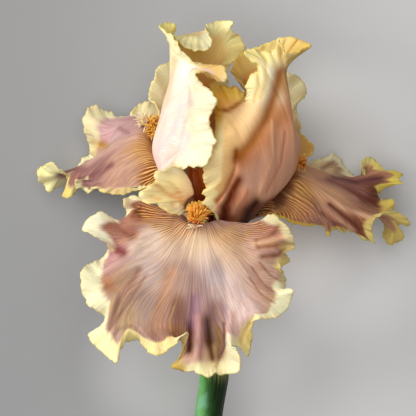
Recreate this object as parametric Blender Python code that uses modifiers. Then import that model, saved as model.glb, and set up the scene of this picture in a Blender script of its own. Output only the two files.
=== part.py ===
"""Bearded iris: one open flower on its cut stem, lying on a table with its front fall up.

Metres, +Z up. The flower opens towards +Y and the cut end of the stem lies towards -Y. The left and
right falls and the cut end touch the ground plane Z = 0. The origin is on that plane, at the middle of
the box around the whole flower.

The flower is laid out in millimetres around the top of its tube, where all the petals spring from:
x to the flower's right, y along the table towards its top, z up. One empty moves all of it into place.
"""

import bmesh
import bpy
import numpy as np
from mathutils import Vector

MM = 0.001
TUBE_TOP = Vector((-0.00668, 0.02454, 0.04197))

STEM_TILT = np.tan(np.radians(15.3))
STEM_RADIUS = 4.0
OVARY_RADIUS = 4.2
STEM_CUT_Y = -138.0
NODE_Y = -57.0
OVARY_TOP_Y = -24.0
GAP = 0.35

PETAL_THICKNESS = 1.0
STYLE_THICKNESS = 1.2
SPATHE_THICKNESS = 0.5
PETAL_COLUMNS = 31
PETAL_ROWS = 11
RELAXED_FROM = 4
RELAX_PASSES = 4
STYLE_COLUMNS = 10
STYLE_ROWS = 9

# Each petal is a fan. A row is (r, points): r runs from 0 at the claw to 1 at the ruffled margin, and
# the points cross the petal from one side to the other, in millimetres from the top of the tube.
FALL_FRONT = [
    (0.0, [(-1.6, -0.7, 4.9), (1.2, -0.9, 5.7), (4, -0.7, 4.9)]),
    (0.06, [(-5, 7, 12), (-2, 6, 13.5), (1.5, 7.5, 12)]),
    (0.13, [(-8, 13, 17), (-8, 12, 22), (-4, 11, 26), (0, 11.5, 22), (2.5, 12, 18)]),
    (0.25, [(-12, 15.5, 22), (-14, 9, 31), (-11, 3, 36), (-5, 0, 39), (1, 3, 37), (6, 8, 31), (9, 12, 24)]),
    (0.45, [(-19, 18, 22), (-24, 9, 31), (-21, -2, 37), (-15, -10, 41), (-7, -14, 44), (1, -14, 44.5),
            (8, -9, 42), (14, 0, 37), (15.5, 11.5, 24.5)]),
    (0.65, [(-24, 20, 21), (-30, 11, 30), (-30, 4, 34), (-32, -8, 38), (-29, -20, 41), (-21, -25, 44),
            (-10, -28, 44), (-2, -30, 46), (6, -25, 44), (13, -20, 43), (20, -10, 39), (22, 0, 36),
            (20, 12.5, 24.5)]),
    (0.85, [(-26, 21, 20), (-29, 16.5, 26), (-35, 11.5, 27), (-38, 7, 33), (-36, 0, 32), (-43, -9, 36),
            (-38, -20, 39), (-38, -32, 38), (-30, -29.5, 41), (-23, -33, 45), (-14, -33, 45), (-9, -36, 42),
            (-4, -42, 46), (6, -42, 41), (9, -35, 46), (13, -31, 41), (17, -24, 44), (26, -21, 40),
            (28, -13, 36), (28, -2, 33), (28, 7, 32), (22.5, 13.5, 24)]),
    (1.0, [(-27, 22, 19), (-33, 20, 24), (-32, 15, 21), (-38, 13, 25), (-49, 10, 31), (-40, 3, 31),
           (-40, -2, 25), (-49, -6, 35), (-49, -16, 37), (-41.5, -24, 34), (-47, -33, 36), (-36, -43, 44),
           (-32, -35, 35), (-25, -37, 40), (-16.5, -39, 49.5), (-8, -31.5, 57.5), (-13, -43.5, 42),
           (-5, -47, 43), (4, -48.5, 44), (13, -46, 44), (11.5, -38, 49), (16, -40, 40), (17.5, -29, 42),
           (25, -26, 42), (33.5, -18, 36), (30.5, -13, 32), (33, -4, 28), (34.5, 4, 32), (30, 12.5, 28),
           (24.5, 15.3, 23.5)]),
]

FALL_LEFT = [
    (0.0, [(-4.6, 0.7, -0.2), (-3.8, 1.4, -2.9), (-1.9, 2, -4.9)]),
    (0.12, [(-9, 13, 1), (-12.5, 15, -4), (-9.5, 14, -12)]),
    (0.3, [(-12.5, 22.5, 3), (-19, 34, 3), (-22.5, 42, -1), (-23.5, 47.5, -6), (-21, 51, -13),
           (-16.5, 48, -20), (-13.5, 36, -21)]),
    (0.5, [(-15, 25.5, 4), (-28, 31, 4), (-33, 36, 1), (-34, 40, -2), (-34, 44, -7), (-34, 47, -12),
           (-33, 51, -17), (-25, 53.5, -22), (-13.5, 42, -22)]),
    (0.72, [(-16.5, 26.3, 5), (-32, 26, 4), (-41, 28.5, 0), (-44, 31.5, -6), (-47, 33, -11),
            (-50, 34, -16), (-49, 35.5, -22), (-46, 37, -27), (-42, 41, -25), (-41, 48, -22),
            (-36, 52.5, -24), (-24, 55, -26), (-17, 50, -24.5), (-14.5, 45, -23.5)]),
    (0.88, [(-17.5, 27, 5.5), (-26, 26.5, 5), (-37, 25, 3), (-44, 27, -3), (-48, 29, -10), (-52, 30, -14),
            (-56, 31, -18), (-61, 32, -24), (-61.5, 29.5, -30), (-56, 31, -34), (-50.5, 34.8, -35),
            (-46, 37.5, -33), (-44.3, 41, -28), (-45, 46, -26), (-46.5, 53, -25), (-40, 54.5, -28),
            (-31, 54, -28), (-25, 57, -27), (-18.5, 54.5, -26), (-15.6, 49, -24.8)]),
    (1.0, [(-18.5, 27.3, 6), (-25, 25.5, 6), (-34, 23, 3), (-43, 24.5, -2), (-47.5, 23.5, -8),
           (-53, 27, -8), (-50, 27, -13), (-56, 21.5, -16), (-56, 30, -18), (-62, 36, -18),
           (-68, 33, -28), (-65, 25, -31), (-58, 27, -40), (-54, 33, -42.4), (-49, 38.5, -42),
           (-46, 40, -31), (-48.5, 46, -28), (-50, 53, -27), (-46, 59, -28), (-37, 55, -31),
           (-33, 54, -30), (-25, 60.5, -29), (-18, 59, -28), (-15.5, 50, -25.5)]),
]
FALL_RIGHT = [
    (0.0, [(7, 0.7, -0.2), (6.2, 1.4, -2.9), (4.3, 2, -4.9)]),
    (0.12, [(12, 8.5, 1.5), (16.5, 12.5, -3), (12.5, 9.5, -10.5)]),
    (0.3, [(14.5, 11, 3.4), (21.5, 20, 7.2), (28, 24.5, 8), (31, 28.5, 3), (31, 30.5, -4), (27, 27, -14),
           (19, 20, -17)]),
    (0.5, [(17.5, 12.8, 5.2), (25, 20.5, 9), (33, 21, 10), (38.5, 21.5, 8), (41, 23, 4), (42, 27.5, -1),
           (42, 31, -6), (40, 34, -12), (34, 32, -18), (24.5, 24.5, -19.5)]),
    (0.72, [(20.8, 14, 7.2), (27, 18.3, 10), (32, 17.6, 10), (38, 16.3, 9), (47, 14, 4), (54, 13, -1),
            (57, 15, -3), (59, 18, -7), (59.5, 21, -12), (60, 24, -16), (60, 27, -19), (57, 29, -22),
            (50, 31.5, -23), (42, 33.5, -23), (30.5, 29.5, -22)]),
    (0.88, [(24, 14.6, 8.8), (30, 15.8, 10.2), (35, 14.5, 9.6), (42, 12.6, 7.2), (48, 12, 2.5), (57, 10, -4),
            (62.5, 9, -5), (65, 14, -4), (74, 13, -13), (73.5, 9, -20), (70, 14, -24), (69, 19.5, -24),
            (68, 26, -23), (72.5, 28.8, -23), (67, 33, -22), (61, 29.5, -25), (54.5, 32, -33),
            (48, 35.5, -27), (37, 33, -24.5)]),
    (1.0, [(27, 15.4, 10), (32, 12.5, 9), (39, 10.7, 7.5), (46, 10, 3), (52, 8.7, -4),
           (60, 7.5, -9), (67.5, 4, -9), (68, 11, -5), (74, 16, -9), (82, 11, -17), (77, 4, -26),
           (71, 7, -28), (74, 15, -28), (75, 21, -25), (69, 21.5, -32), (77, 27.5, -22),
           (78, 31, -27), (70, 34, -24), (66, 38, -24), (63, 33, -20), (60, 30, -39), (57, 33, -44.4),
           (53.5, 37, -40), (48, 38, -33), (43, 36, -28)]),
]
STANDARD_LEFT = [
    (0.0, [(-0.9, -0.4, 3.7), (-2.3, 0, 2.2), (-3, 0.6, 0.2)]),
    (0.18, [(-6, 11, 10.5), (-14, 21, 15), (-18, 31, 14), (-14, 26, 6), (-5, 14, 2.5)]),
    (0.35, [(-7.3, 14, 13.5), (-16, 26, 21), (-18, 37, 25), (-17, 48, 25), (-18, 56, 20), (-18, 56, 8),
            (-14, 53, -1), (-9, 40, -3), (-5, 18, 2)]),
    (0.6, [(-8, 15.3, 16), (-15, 23, 22), (-17, 30, 26), (-14, 37, 30), (-11, 44, 33), (-10, 54, 34),
           (-9, 64, 32), (-10, 70, 29), (-15, 78, 21), (-14, 80, 12), (-8, 78, 4), (-2, 73, -2),
           (1, 62, -7), (-1, 44, -9), (-5, 21, 0.5)]),
    (0.85, [(-8.3, 16, 18), (-15, 19, 25), (-19, 22.5, 27), (-19, 27, 28.5), (-14.5, 30, 29.5),
            (-13, 35, 31), (-6, 40, 34.5), (-4, 47, 34.5), (-4, 56, 35), (-5.5, 64, 33.5),
            (-7, 68.5, 32), (-5, 72.3, 30.5), (1, 71.3, 30.2), (-3, 73.2, 31), (-11, 79, 29.5),
            (-15.5, 85, 25), (-14, 86, 16), (-7.5, 86.5, 13), (-1, 88, 9), (4, 88, 3), (8, 85, 1),
            (9, 79.5, 0), (6, 74, -2.5), (6, 68, -5.5), (5, 58, -9), (3, 45, -10), (-4, 22, -0.5)]),
    (1.0, [(-8.5, 16, 20), (-14, 16, 28), (-26.5, 22, 31.5), (-17, 24.5, 35), (-12.5, 21, 37),
           (-7, 25, 36), (-9, 33, 31), (1, 36.5, 38), (3, 44, 37), (1.5, 52, 37), (4, 59.5, 37),
           (0, 65.5, 34), (-4, 71, 33), (2, 69, 26), (8, 71, 31), (0, 74.3, 31), (-10, 80, 33),
           (-18.5, 89.5, 28), (-13, 91, 20), (-12, 84.5, 22), (-3, 80, 26), (2, 84, 20), (0.5, 91, 6),
           (10.5, 92, 4), (15, 82, 0), (10, 75.5, -1), (8.5, 67, -5), (7, 50, -11), (0, 30, -6),
           (-3, 24, -2)]),
]
STANDARD_RIGHT = [
    (0.0, [(3.3, -0.4, 3.7), (4.7, 0, 2.2), (5.4, 0.6, 0.2)]),
    (0.18, [(6.2, 11, 10.5), (14, 14, 14.5), (21, 17, 11), (16, 18, 6), (8, 12.5, 3)]),
    (0.35, [(5.7, 13.5, 13.5), (14, 21, 23), (23, 24, 25.5), (30.5, 26, 19), (34, 33, 13.5), (30, 35, 7),
            (24, 34, 3), (17, 29, 1), (8.5, 17, 3.5)]),
    (0.6, [(5, 14.5, 17), (7, 21, 24), (9.5, 30, 27), (13, 39, 31), (17, 47, 33), (23, 52, 34),
           (29.5, 52, 32), (35, 46, 27), (36.5, 44.5, 18), (34, 46, 9), (29, 48, 2), (23, 47, -2),
           (17, 37, -3), (8.5, 19, 2.5)]),
    (0.85, [(4.4, 15.4, 20.5), (3, 18.8, 25.5), (4, 24, 27.5), (5, 32, 30), (6.5, 42, 32.5),
            (7.5, 50, 31), (8, 54, 27), (12, 57, 28), (17, 59.5, 32.5), (19, 66, 36), (21.5, 71.5, 35.5),
            (20.5, 75.5, 36), (24.5, 74, 35), (28, 73.5, 34), (31, 72, 31), (31.5, 72, 24),
            (28.5, 75, 17), (21.5, 76, 12), (15, 71, 7), (18, 60, 0.5), (17, 45, -4), (8.5, 21, 2)]),
    (1.0, [(3.5, 15.8, 22), (-2, 19.5, 29), (-1, 24, 29), (-1.5, 33, 32), (1, 42, 31), (3, 51, 25),
           (1, 60, 17), (2, 67.5, 12), (10, 66, 19), (13.5, 61, 22), (15.5, 64, 34), (20, 72, 33),
           (15, 78.5, 37), (21, 80, 33), (28.5, 83, 34), (31, 79.5, 37), (41, 82, 28), (34, 85.5, 20),
           (26, 84, 17), (18, 81, 13), (9.5, 73, 6), (15, 64, 2), (17, 57, -2), (14, 40, -4.5),
           (8.5, 22, 2)]),
]
STANDARD_BACK = [
    (0.0, [(-0.8, 1.6, -3.4), (1.2, 1.8, -4.1), (3.2, 1.6, -3.4)]),
    (0.2, [(-4, 12, -7), (-3, 23, -14), (3, 26, -17), (9, 23, -15), (9, 12, -8)]),
    (0.5, [(-7.5, 24, -8.5), (-12, 37, -13), (-15, 48, -17), (-10, 55, -21), (2, 50, -24), (14, 51, -24),
           (24, 54, -22), (26, 44, -17), (17, 25, -12.5)]),
    (0.82, [(-11, 32, -10), (-15.5, 42, -12), (-17.5, 53, -13), (-18.5, 62, -14), (-14, 69, -17),
            (-4, 62, -22), (6, 59, -24.5), (16, 60.5, -24.5), (25, 65, -21), (33, 63, -17),
            (33, 53, -15), (35, 43, -13), (25, 31, -12.5)]),
    (1.0, [(-13, 38, -10), (-16, 51, -9), (-20, 58, -6), (-23, 63, -9), (-21, 70, -9),
           (-17.5, 75.5, -14), (-8, 72, -20), (1, 65, -22), (6, 63.5, -20), (12, 63.5, -23),
           (24, 70, -18), (34.5, 71.5, -12), (40, 65.5, -12), (36, 57, -12), (38, 48, -11),
           (43, 41, -10), (37, 38, -11), (30, 34.5, -12.5)]),
]

# Midlines of the parts that stand inside: (x, y, z) in millimetres, from the tube outwards.
STYLE_FRONT = [(1.2, 0.1, 2), (0.8, 6, 4), (-0.4, 13, 7.5), (-2, 20.5, 11.5), (-3.4, 28, 14.5),
               (-4, 34.5, 14)]
STYLE_LEFT = [(-0.4, 0.7, 0.1), (-2.8, 8, -0.8), (-5.8, 15, -1.8), (-9, 22.5, -2.8), (-12, 30, -4),
              (-13.5, 37, -6)]
STYLE_RIGHT = [(2.8, 0.7, 0.1), (5.3, 7.5, -1), (8.3, 14, -2.2), (12, 20.5, -3.8), (16.5, 26.5, -5.8),
               (20.5, 31, -8)]
STAMEN_FRONT = [(1.3, -0.4, 4), (0.9, 5, 7.2), (-0.2, 10.5, 11.5), (-1.5, 14.5, 15.5), (-2.2, 17, 18.5)]
STAMEN_LEFT = [(-2.3, 1.1, -1.7), (-4.6, 7.5, -2.8), (-7.2, 13.5, -3.9), (-9.8, 19.5, -5), (-12, 25, -6)]
STAMEN_RIGHT = [(4.7, 1.1, -1.7), (8.6, 6, -2.6), (13, 12, -3.2), (17.5, 17.8, -3.4), (22, 23.4, -3.6)]
BEARD_FRONT = [(-2.6, 12, 19.2), (-3.6, 14.7, 26), (-4.3, 10.3, 34.5)]
BEARD_LEFT = [(-17.8, 43.5, -5), (-21, 50.8, -6), (-27, 52.2, -7.8)]
BEARD_RIGHT = [(25, 29.3, -1), (32, 34.8, -1.8), (39.5, 35.4, -3.8)]

# Inward direction of each of the three sides, towards the flower's axis.
INWARD = {"front": (0.1, 0.75, -0.66), "left": (0.86, 0.0, 0.5), "right": (-0.75, 0.45, 0.48)}

COLOURS = {
    "stem": (0.10, 0.22, 0.10),
    "spathe": (0.16, 0.30, 0.14),
    "ovary": (0.36, 0.45, 0.12),
    "tube": (0.55, 0.58, 0.25),
    "fall": (0.55, 0.36, 0.34),
    "standard": (0.85, 0.66, 0.50),
    "style": (0.70, 0.42, 0.22),
    "stamen": (0.85, 0.78, 0.60),
    "beard": (0.85, 0.38, 0.08),
}


def clear_scene():
    for item in list(bpy.data.objects):
        bpy.data.objects.remove(item, do_unlink=True)


def make_collection(name):
    group = bpy.data.collections.new(name)
    bpy.context.scene.collection.children.link(group)
    return group


def make_material(name, colour, roughness=0.55):
    material = bpy.data.materials.new(name)
    material.use_nodes = True
    surface = material.node_tree.nodes["Principled BSDF"]
    surface.inputs["Base Color"].default_value = (*colour, 1.0)
    surface.inputs["Roughness"].default_value = roughness
    surface.inputs["Metallic"].default_value = 0.0
    return material


def through(knots, points, t):
    """Smooth curve through points at knots, read at t, with the slopes of its neighbours."""
    knots = np.asarray(knots, float)
    points = np.asarray(points, float)
    gaps = np.diff(knots)
    slopes = np.diff(points, axis=0) / gaps[:, None]
    share = (gaps[1:] / (gaps[:-1] + gaps[1:]))[:, None]
    inner = share * slopes[:-1] + (1 - share) * slopes[1:]
    tangents = np.vstack([slopes[:1], inner, slopes[-1:]])
    t = np.clip(t, knots[0], knots[-1])
    i = np.clip(np.searchsorted(knots, t, side="right") - 1, 0, len(gaps) - 1)
    s = ((t - knots[i]) / gaps[i])[:, None]
    reach = gaps[i][:, None]
    start = (2 * s**3 - 3 * s**2 + 1) * points[i] + (s**3 - 2 * s**2 + s) * reach * tangents[i]
    end = (3 * s**2 - 2 * s**3) * points[i + 1] + (s**3 - s**2) * reach * tangents[i + 1]
    return start + end


def run_along(points):
    """Running length at each point, 0 to 1."""
    steps = np.linalg.norm(np.diff(points, axis=0), axis=1)
    return np.concatenate([[0.0], np.cumsum(steps)]) / steps.sum()


def fan(rows, columns, layers):
    """Grid of points, layers deep and columns wide, over the rows of a petal."""
    across = np.linspace(0, 1, columns)
    curves = []
    for _, points in rows:
        points = np.array(points, float)
        knots = 0.5 * run_along(points) + 0.5 * np.linspace(0, 1, len(points))
        curves.append(through(knots, points, across).ravel())
    steps = through([r for r, _ in rows], curves, np.linspace(0, 1, layers))
    return relax(steps.reshape(layers, columns, 3))


def relax(points):
    """Evens out the outer part of a petal, so that its ruffles don't fold over themselves."""
    points = points.copy()
    points[-1, 1:-1] = (points[-1, :-2] + 2 * points[-1, 1:-1] + points[-1, 2:]) / 4
    first = RELAXED_FROM
    for _ in range(RELAX_PASSES):
        around = (points[first - 1:-2, 1:-1] + points[first + 1:, 1:-1]
                  + points[first:-1, :-2] + points[first:-1, 2:]) / 4
        points[first:-1, 1:-1] = (points[first:-1, 1:-1] + around) / 2
    return points


def add_mesh_object(name, group, material, mesh, place):
    mesh.materials.append(material)
    item = bpy.data.objects.new(name, mesh)
    group.objects.link(item)
    item.parent = place
    return item


def sheet_mesh(name, points):
    """Open sheet of quads over a grid of points given in millimetres."""
    layers, columns, _ = points.shape
    shape = bmesh.new()
    bmesh.ops.create_grid(shape, x_segments=columns - 1, y_segments=layers - 1, size=1.0)
    for vertex in shape.verts:
        column = round((vertex.co.x + 1.0) / 2.0 * (columns - 1))
        layer = round((vertex.co.y + 1.0) / 2.0 * (layers - 1))
        vertex.co = Vector(points[layer, column]) * MM
    mesh = bpy.data.meshes.new(name)
    shape.to_mesh(mesh)
    shape.free()
    mesh.shade_smooth()
    return mesh


def add_sheet(name, group, material, points, thickness, place):
    """Sheet of one thickness, half of it on each side of the points."""
    item = add_mesh_object(name, group, material, sheet_mesh(name, points), place)
    shell = item.modifiers.new("Thickness", "SOLIDIFY")
    shell.thickness = thickness * MM
    shell.offset = 0.0
    shell.use_rim = True
    return item


def add_strip(name, group, material, midline, inward, place):
    """Style arm: a narrow roof-shaped strip that widens into its two-lobed crest."""
    midline = np.array(midline, float)
    t = np.linspace(0, 1, STYLE_ROWS)
    line = through(run_along(midline), midline, t)
    ahead = np.gradient(line, axis=0)
    ahead /= np.linalg.norm(ahead, axis=1)[:, None]
    side = np.cross(ahead, np.array(inward))
    side /= np.linalg.norm(side, axis=1)[:, None]
    up = np.cross(side, ahead)
    half_width = np.interp(t, [0, 0.3, 0.75, 0.88, 1.0], [0.9, 2.2, 3.0, 3.6, 2.8])
    roof = np.interp(t, [0, 0.3, 0.8, 1.0], [0.1, 0.9, 1.3, 0.4])
    cleft = np.interp(t, [0, 0.85, 1.0], [0.0, 0.0, 2.6])
    across = np.linspace(-1, 1, STYLE_COLUMNS + 1)
    grid = line[:, None] + side[:, None] * (half_width[:, None] * across)[:, :, None]
    grid += up[:, None] * (roof[:, None] * (0.5 - across**2))[:, :, None]
    grid -= ahead[:, None] * (cleft[:, None] * (1 - np.abs(across)) ** 2)[:, :, None]
    return add_sheet(name, group, material, grid, STYLE_THICKNESS, place)


def add_stalk(name, group, material, path, radii, place, sides=4):
    """Round solid along a path, with a radius for each path point and flat ends."""
    path = np.array(path, float)
    knots = run_along(path)
    t = np.linspace(0, 1, max(3, 3 * len(path) - 2))
    points = through(knots, path, t)
    widths = through(knots, np.array(radii, float)[:, None], t)[:, 0]
    curve = bpy.data.curves.new(name, "CURVE")
    curve.dimensions = "3D"
    curve.bevel_depth = MM
    curve.bevel_resolution = sides
    curve.use_fill_caps = True
    spline = curve.splines.new("POLY")
    spline.points.add(len(points) - 1)
    for place_on, point, width in zip(spline.points, points, widths):
        place_on.co = (*(Vector(point) * MM), 1.0)
        place_on.radius = width
    curve.materials.append(material)
    item = bpy.data.objects.new(name, curve)
    group.objects.link(item)
    item.parent = place
    return item


def stem_point(y):
    """Middle of the stem at y, with the slight bend that it has below the flower."""
    bend = 1.2 + 2.2 * np.exp(-((y + 48.0) / 14.0) ** 2) - 4.5 * (min(y, 0) / STEM_CUT_Y) ** 2
    return np.array([bend, y, y * STEM_TILT])


def add_spathe(name, group, material, turn, foot_y, rim_y, tip_y, full_radius, place):
    """Green sheath round the top of the stem: open at both ends, its rim rising to a point."""
    around = np.linspace(0, 2 * np.pi, 24, endpoint=False)
    rings = np.linspace(0, 1, 7)
    ahead = np.array([0.0, 1.0, STEM_TILT]) / np.hypot(1.0, STEM_TILT)
    right = np.array([1.0, 0.0, 0.0])
    foot_radius = STEM_RADIUS + GAP + SPATHE_THICKNESS / 2
    up = np.cross(right, ahead)
    rise = (tip_y - rim_y) * (0.5 + 0.5 * np.cos(around - turn)) ** 2
    shape = bmesh.new()
    loops = []
    for t in rings:
        swell = np.sin(np.pi / 2 * min(1.0, t / 0.35))
        flare = foot_radius + (full_radius - foot_radius) * swell
        level = foot_y + (rim_y - foot_y) * t
        ring = [stem_point(level + t**2 * lift) + flare * (np.cos(a) * right + np.sin(a) * up)
                for a, lift in zip(around, rise)]
        loops.append([shape.verts.new(Vector(p) * MM) for p in ring])
    for low, high in zip(loops, loops[1:]):
        for i in range(len(low)):
            j = (i + 1) % len(low)
            shape.faces.new((low[i], low[j], high[j], high[i]))
    mesh = bpy.data.meshes.new(name)
    bmesh.ops.recalc_face_normals(shape, faces=shape.faces)
    shape.to_mesh(mesh)
    shape.free()
    mesh.shade_smooth()
    item = add_mesh_object(name, group, material, mesh, place)
    shell = item.modifiers.new("Thickness", "SOLIDIFY")
    shell.thickness = SPATHE_THICKNESS * MM
    shell.offset = 0.0
    return item


def add_green_parts(group, materials, place):
    stem_ys = [STEM_CUT_Y, -115, -90, -72, NODE_Y]
    stem_radii = [STEM_RADIUS + 0.3, STEM_RADIUS + 0.1, STEM_RADIUS, STEM_RADIUS, STEM_RADIUS - 0.3]
    add_stalk("stem", group, materials["stem"], [stem_point(y) for y in stem_ys], stem_radii, place, sides=6)
    ovary_ys = [NODE_Y + GAP, -51, -43, -34, OVARY_TOP_Y]
    add_stalk("ovary", group, materials["ovary"], [stem_point(y) for y in ovary_ys],
              [3.2, 4.0, OVARY_RADIUS, 4.1, 3.4], place, sides=5)
    tube_ys = [OVARY_TOP_Y + GAP, -16, -7, -0.1]
    add_stalk("perianth_tube", group, materials["tube"], [stem_point(y) for y in tube_ys],
              [3.2, 3.3, 4.4, 6.6], place, sides=5)
    add_spathe("spathe_outer", group, materials["spathe"], np.radians(205), -96, -56, -34, 5.85, place)
    add_spathe("spathe_inner", group, materials["spathe"], np.radians(20), -88, -60, -40, 4.9, place)


def add_petals(group, materials, place):
    falls = {"front": FALL_FRONT, "left": FALL_LEFT, "right": FALL_RIGHT}
    standards = {"left": STANDARD_LEFT, "right": STANDARD_RIGHT, "back": STANDARD_BACK}
    for side, rows in falls.items():
        points = fan(rows, PETAL_COLUMNS, PETAL_ROWS)
        add_sheet("fall_" + side, group, materials["fall"], points, PETAL_THICKNESS, place)
    for side, rows in standards.items():
        points = fan(rows, PETAL_COLUMNS, PETAL_ROWS)
        add_sheet("standard_" + side, group, materials["standard"], points, PETAL_THICKNESS, place)


def add_inner_parts(group, materials, place):
    styles = {"front": STYLE_FRONT, "left": STYLE_LEFT, "right": STYLE_RIGHT}
    stamens = {"front": STAMEN_FRONT, "left": STAMEN_LEFT, "right": STAMEN_RIGHT}
    beards = {"front": BEARD_FRONT, "left": BEARD_LEFT, "right": BEARD_RIGHT}
    for side in styles:
        add_strip("style_arm_" + side, group, materials["style"], styles[side], INWARD[side], place)
        add_stalk("stamen_" + side, group, materials["stamen"], stamens[side],
                  [0.55, 0.55, 0.9, 1.3, 0.5], place, sides=2)
        add_stalk("beard_" + side, group, materials["beard"], beards[side], [1.3, 2.6, 1.4], place,
                  sides=2)


clear_scene()
flower = make_collection("bearded_iris")
place = bpy.data.objects.new("tube_top", None)
flower.objects.link(place)
place.location = TUBE_TOP
finishes = {name: make_material(name, colour) for name, colour in COLOURS.items()}
add_green_parts(flower, finishes, place)
add_petals(flower, finishes, place)
add_inner_parts(flower, finishes, place)
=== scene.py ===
import bpy
import numpy as np
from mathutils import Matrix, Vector


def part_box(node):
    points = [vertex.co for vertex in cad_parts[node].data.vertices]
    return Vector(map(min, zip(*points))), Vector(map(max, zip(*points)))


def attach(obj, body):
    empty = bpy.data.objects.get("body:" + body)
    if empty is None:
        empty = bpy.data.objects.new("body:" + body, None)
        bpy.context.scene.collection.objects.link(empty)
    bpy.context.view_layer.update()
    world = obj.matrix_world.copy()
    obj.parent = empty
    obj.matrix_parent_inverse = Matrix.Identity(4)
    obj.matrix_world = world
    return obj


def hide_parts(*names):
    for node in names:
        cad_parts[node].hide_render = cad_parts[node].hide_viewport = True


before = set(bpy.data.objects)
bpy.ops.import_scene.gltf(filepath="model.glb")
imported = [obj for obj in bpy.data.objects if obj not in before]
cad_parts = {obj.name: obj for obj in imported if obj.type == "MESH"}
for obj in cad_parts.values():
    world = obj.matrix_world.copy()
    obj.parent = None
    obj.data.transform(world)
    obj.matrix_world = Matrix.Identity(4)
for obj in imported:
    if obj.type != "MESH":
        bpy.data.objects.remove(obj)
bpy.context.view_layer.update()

# The tabletop: a grey sheet of board under the cut flower, which lies on its two side falls and
# the end of its stem. The board carries painted light: it is painted lighter towards the right, and
# soft pale pools are painted round the flower where its shadow falls. A soft lamp stands low on the
# left, and a large one hangs overhead.
MM = 0.001
BOARD_REACH = 3.0  # metres each way
HEART_INSET = (7.8, 1.6, 6.18)  # mm from the high corner of the tube's box in to the heart of the flower
heart = Vector([high - inset * MM for high, inset in zip(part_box("perianth_tube")[1], HEART_INSET)])


def paint(red, green, blue):
    """A display colour of 0 to 255 as a linear colour with alpha."""
    values = np.array([red, green, blue]) / 255.0
    linear = np.where(values <= 0.04045, values / 12.92, ((values + 0.055) / 1.055) ** 2.4)
    return (*linear.tolist(), 1.0)


def add_node(tree, kind, values=None, output=0, **settings):
    """Adds a node and gives one of its outputs; values are numbers, colours or outputs of other nodes."""
    node = tree.nodes.new(kind)
    for name, setting in settings.items():
        setattr(node, name, setting)
    for socket, value in (values or {}).items():
        if isinstance(value, Wire):
            tree.links.new(value.socket, node.inputs[socket])
        else:
            node.inputs[socket].default_value = value
    return Wire(node.outputs[output])


class Wire:
    """An output of a node; sums with numbers or other outputs add maths nodes to the same tree."""

    def __init__(self, socket):
        self.socket = socket

    def into(self, kind, values, output=0, **settings):
        """Adds a node that takes this output in its first socket."""
        return add_node(self.socket.id_data, kind, {0: self, **values}, output, **settings)

    def maths(self, operation, other=0.0):
        return self.into("ShaderNodeMath", {1: other}, operation=operation)

    def __add__(self, other):
        return self.maths("ADD", other)

    def __sub__(self, other):
        return self.maths("SUBTRACT", other)

    def __mul__(self, other):
        return self.maths("MULTIPLY", other)

    def __truediv__(self, other):
        return self.maths("DIVIDE", other)

    def __rpow__(self, base):
        return add_node(self.socket.id_data, "ShaderNodeMath", {0: base, 1: self}, operation="POWER")

    def centred(self, size):
        """A noise of 0 to 1 as one of that size round zero."""
        return (self - 0.5) * size

    def rise(self, low, high):
        """0 below low, 1 above high and smooth between them; falls instead if low is above high."""
        return self.into("ShaderNodeMapRange", {"From Min": low, "From Max": high},
                         interpolation_type="SMOOTHSTEP")

    def blend(self, first, second):
        """Colour that goes from first to second as this number goes from 0 to 1."""
        return self.into("ShaderNodeMix", {6: first, 7: second}, 2, data_type="RGBA")

    def times(self, colour):
        return self.into("ShaderNodeVectorMath", {1: colour}, operation="MULTIPLY")

    def deepened(self, depth):
        return self.into("ShaderNodeGamma", {"Gamma": depth})

    def across(self):
        """How far to the right a place is, in metres."""
        return self.into("ShaderNodeSeparateXYZ", {})

    def stretched(self, *scale):
        return self.into("ShaderNodeMapping", {"Scale": scale})


class Finish:
    """A material; glow is the share of light that sinks in, how far each colour goes, and its scale."""

    def __init__(self, name, roughness, specular, glow=()):
        self.material = bpy.data.materials.new(name)
        self.material.use_nodes = True
        self.tree = self.material.node_tree
        self.shader = self.tree.nodes["Principled BSDF"].inputs
        for socket, value in zip(("Roughness", "Specular IOR Level", "Subsurface Weight",
                                  "Subsurface Radius", "Subsurface Scale"), (roughness, specular, *glow)):
            self.shader[socket].default_value = value

    def place(self):
        return add_node(self.tree, "ShaderNodeTexCoord", output="Object")

    def mark(self, name, output="Fac"):
        """The number or the colour of that name on the points of a piece."""
        return add_node(self.tree, "ShaderNodeAttribute", output=output, attribute_name=name)

    def noise(self, place, scale, detail, roughness=0.5, dimensions="3D"):
        return place.into("ShaderNodeTexNoise", {"Scale": scale, "Detail": detail, "Roughness": roughness},
                          noise_dimensions=dimensions)

    def streaks(self, across, along, roughness=0.5):
        """Noise over two measures of a piece, drawn out along it."""
        spot = across.into("ShaderNodeCombineXYZ", {"Y": along})
        return self.noise(spot, 1.0, 3.0, roughness, "2D")

    def coat(self, colour, relief=None, strength=0.0, height=0.0002):
        """Gives the material its colour, and a relief that is raised as a bump."""
        self.tree.links.new(colour.socket, self.shader["Base Color"])
        if relief:
            bump = add_node(self.tree, "ShaderNodeBump",
                            {"Height": relief, "Strength": strength, "Distance": height})
            self.tree.links.new(bump.socket, self.shader["Normal"])


def add_object(name, data):
    made = bpy.data.objects.new(name, data)
    bpy.context.scene.collection.objects.link(made)
    return made


def add_lamp(name, place, size, power, tint):
    """Square soft lamp, turned towards the flower."""
    lamp = bpy.data.lights.new(name, "AREA")
    lamp.size = size
    lamp.energy = power
    lamp.color = tint
    held = add_object(name, lamp)
    held.location = place
    held.rotation_euler = (heart - Vector(place)).to_track_quat("-Z", "Y").to_euler()


board_finish = Finish("board", 0.9, 0.1)
board_place = board_finish.place()
# Painted light: the board is darker on the left and lighter on the right, as the light falls on it.
board_painted_light = board_place.across().rise(-0.10, 0.12).blend(paint(148, 149, 151), paint(197, 198, 200))
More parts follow.
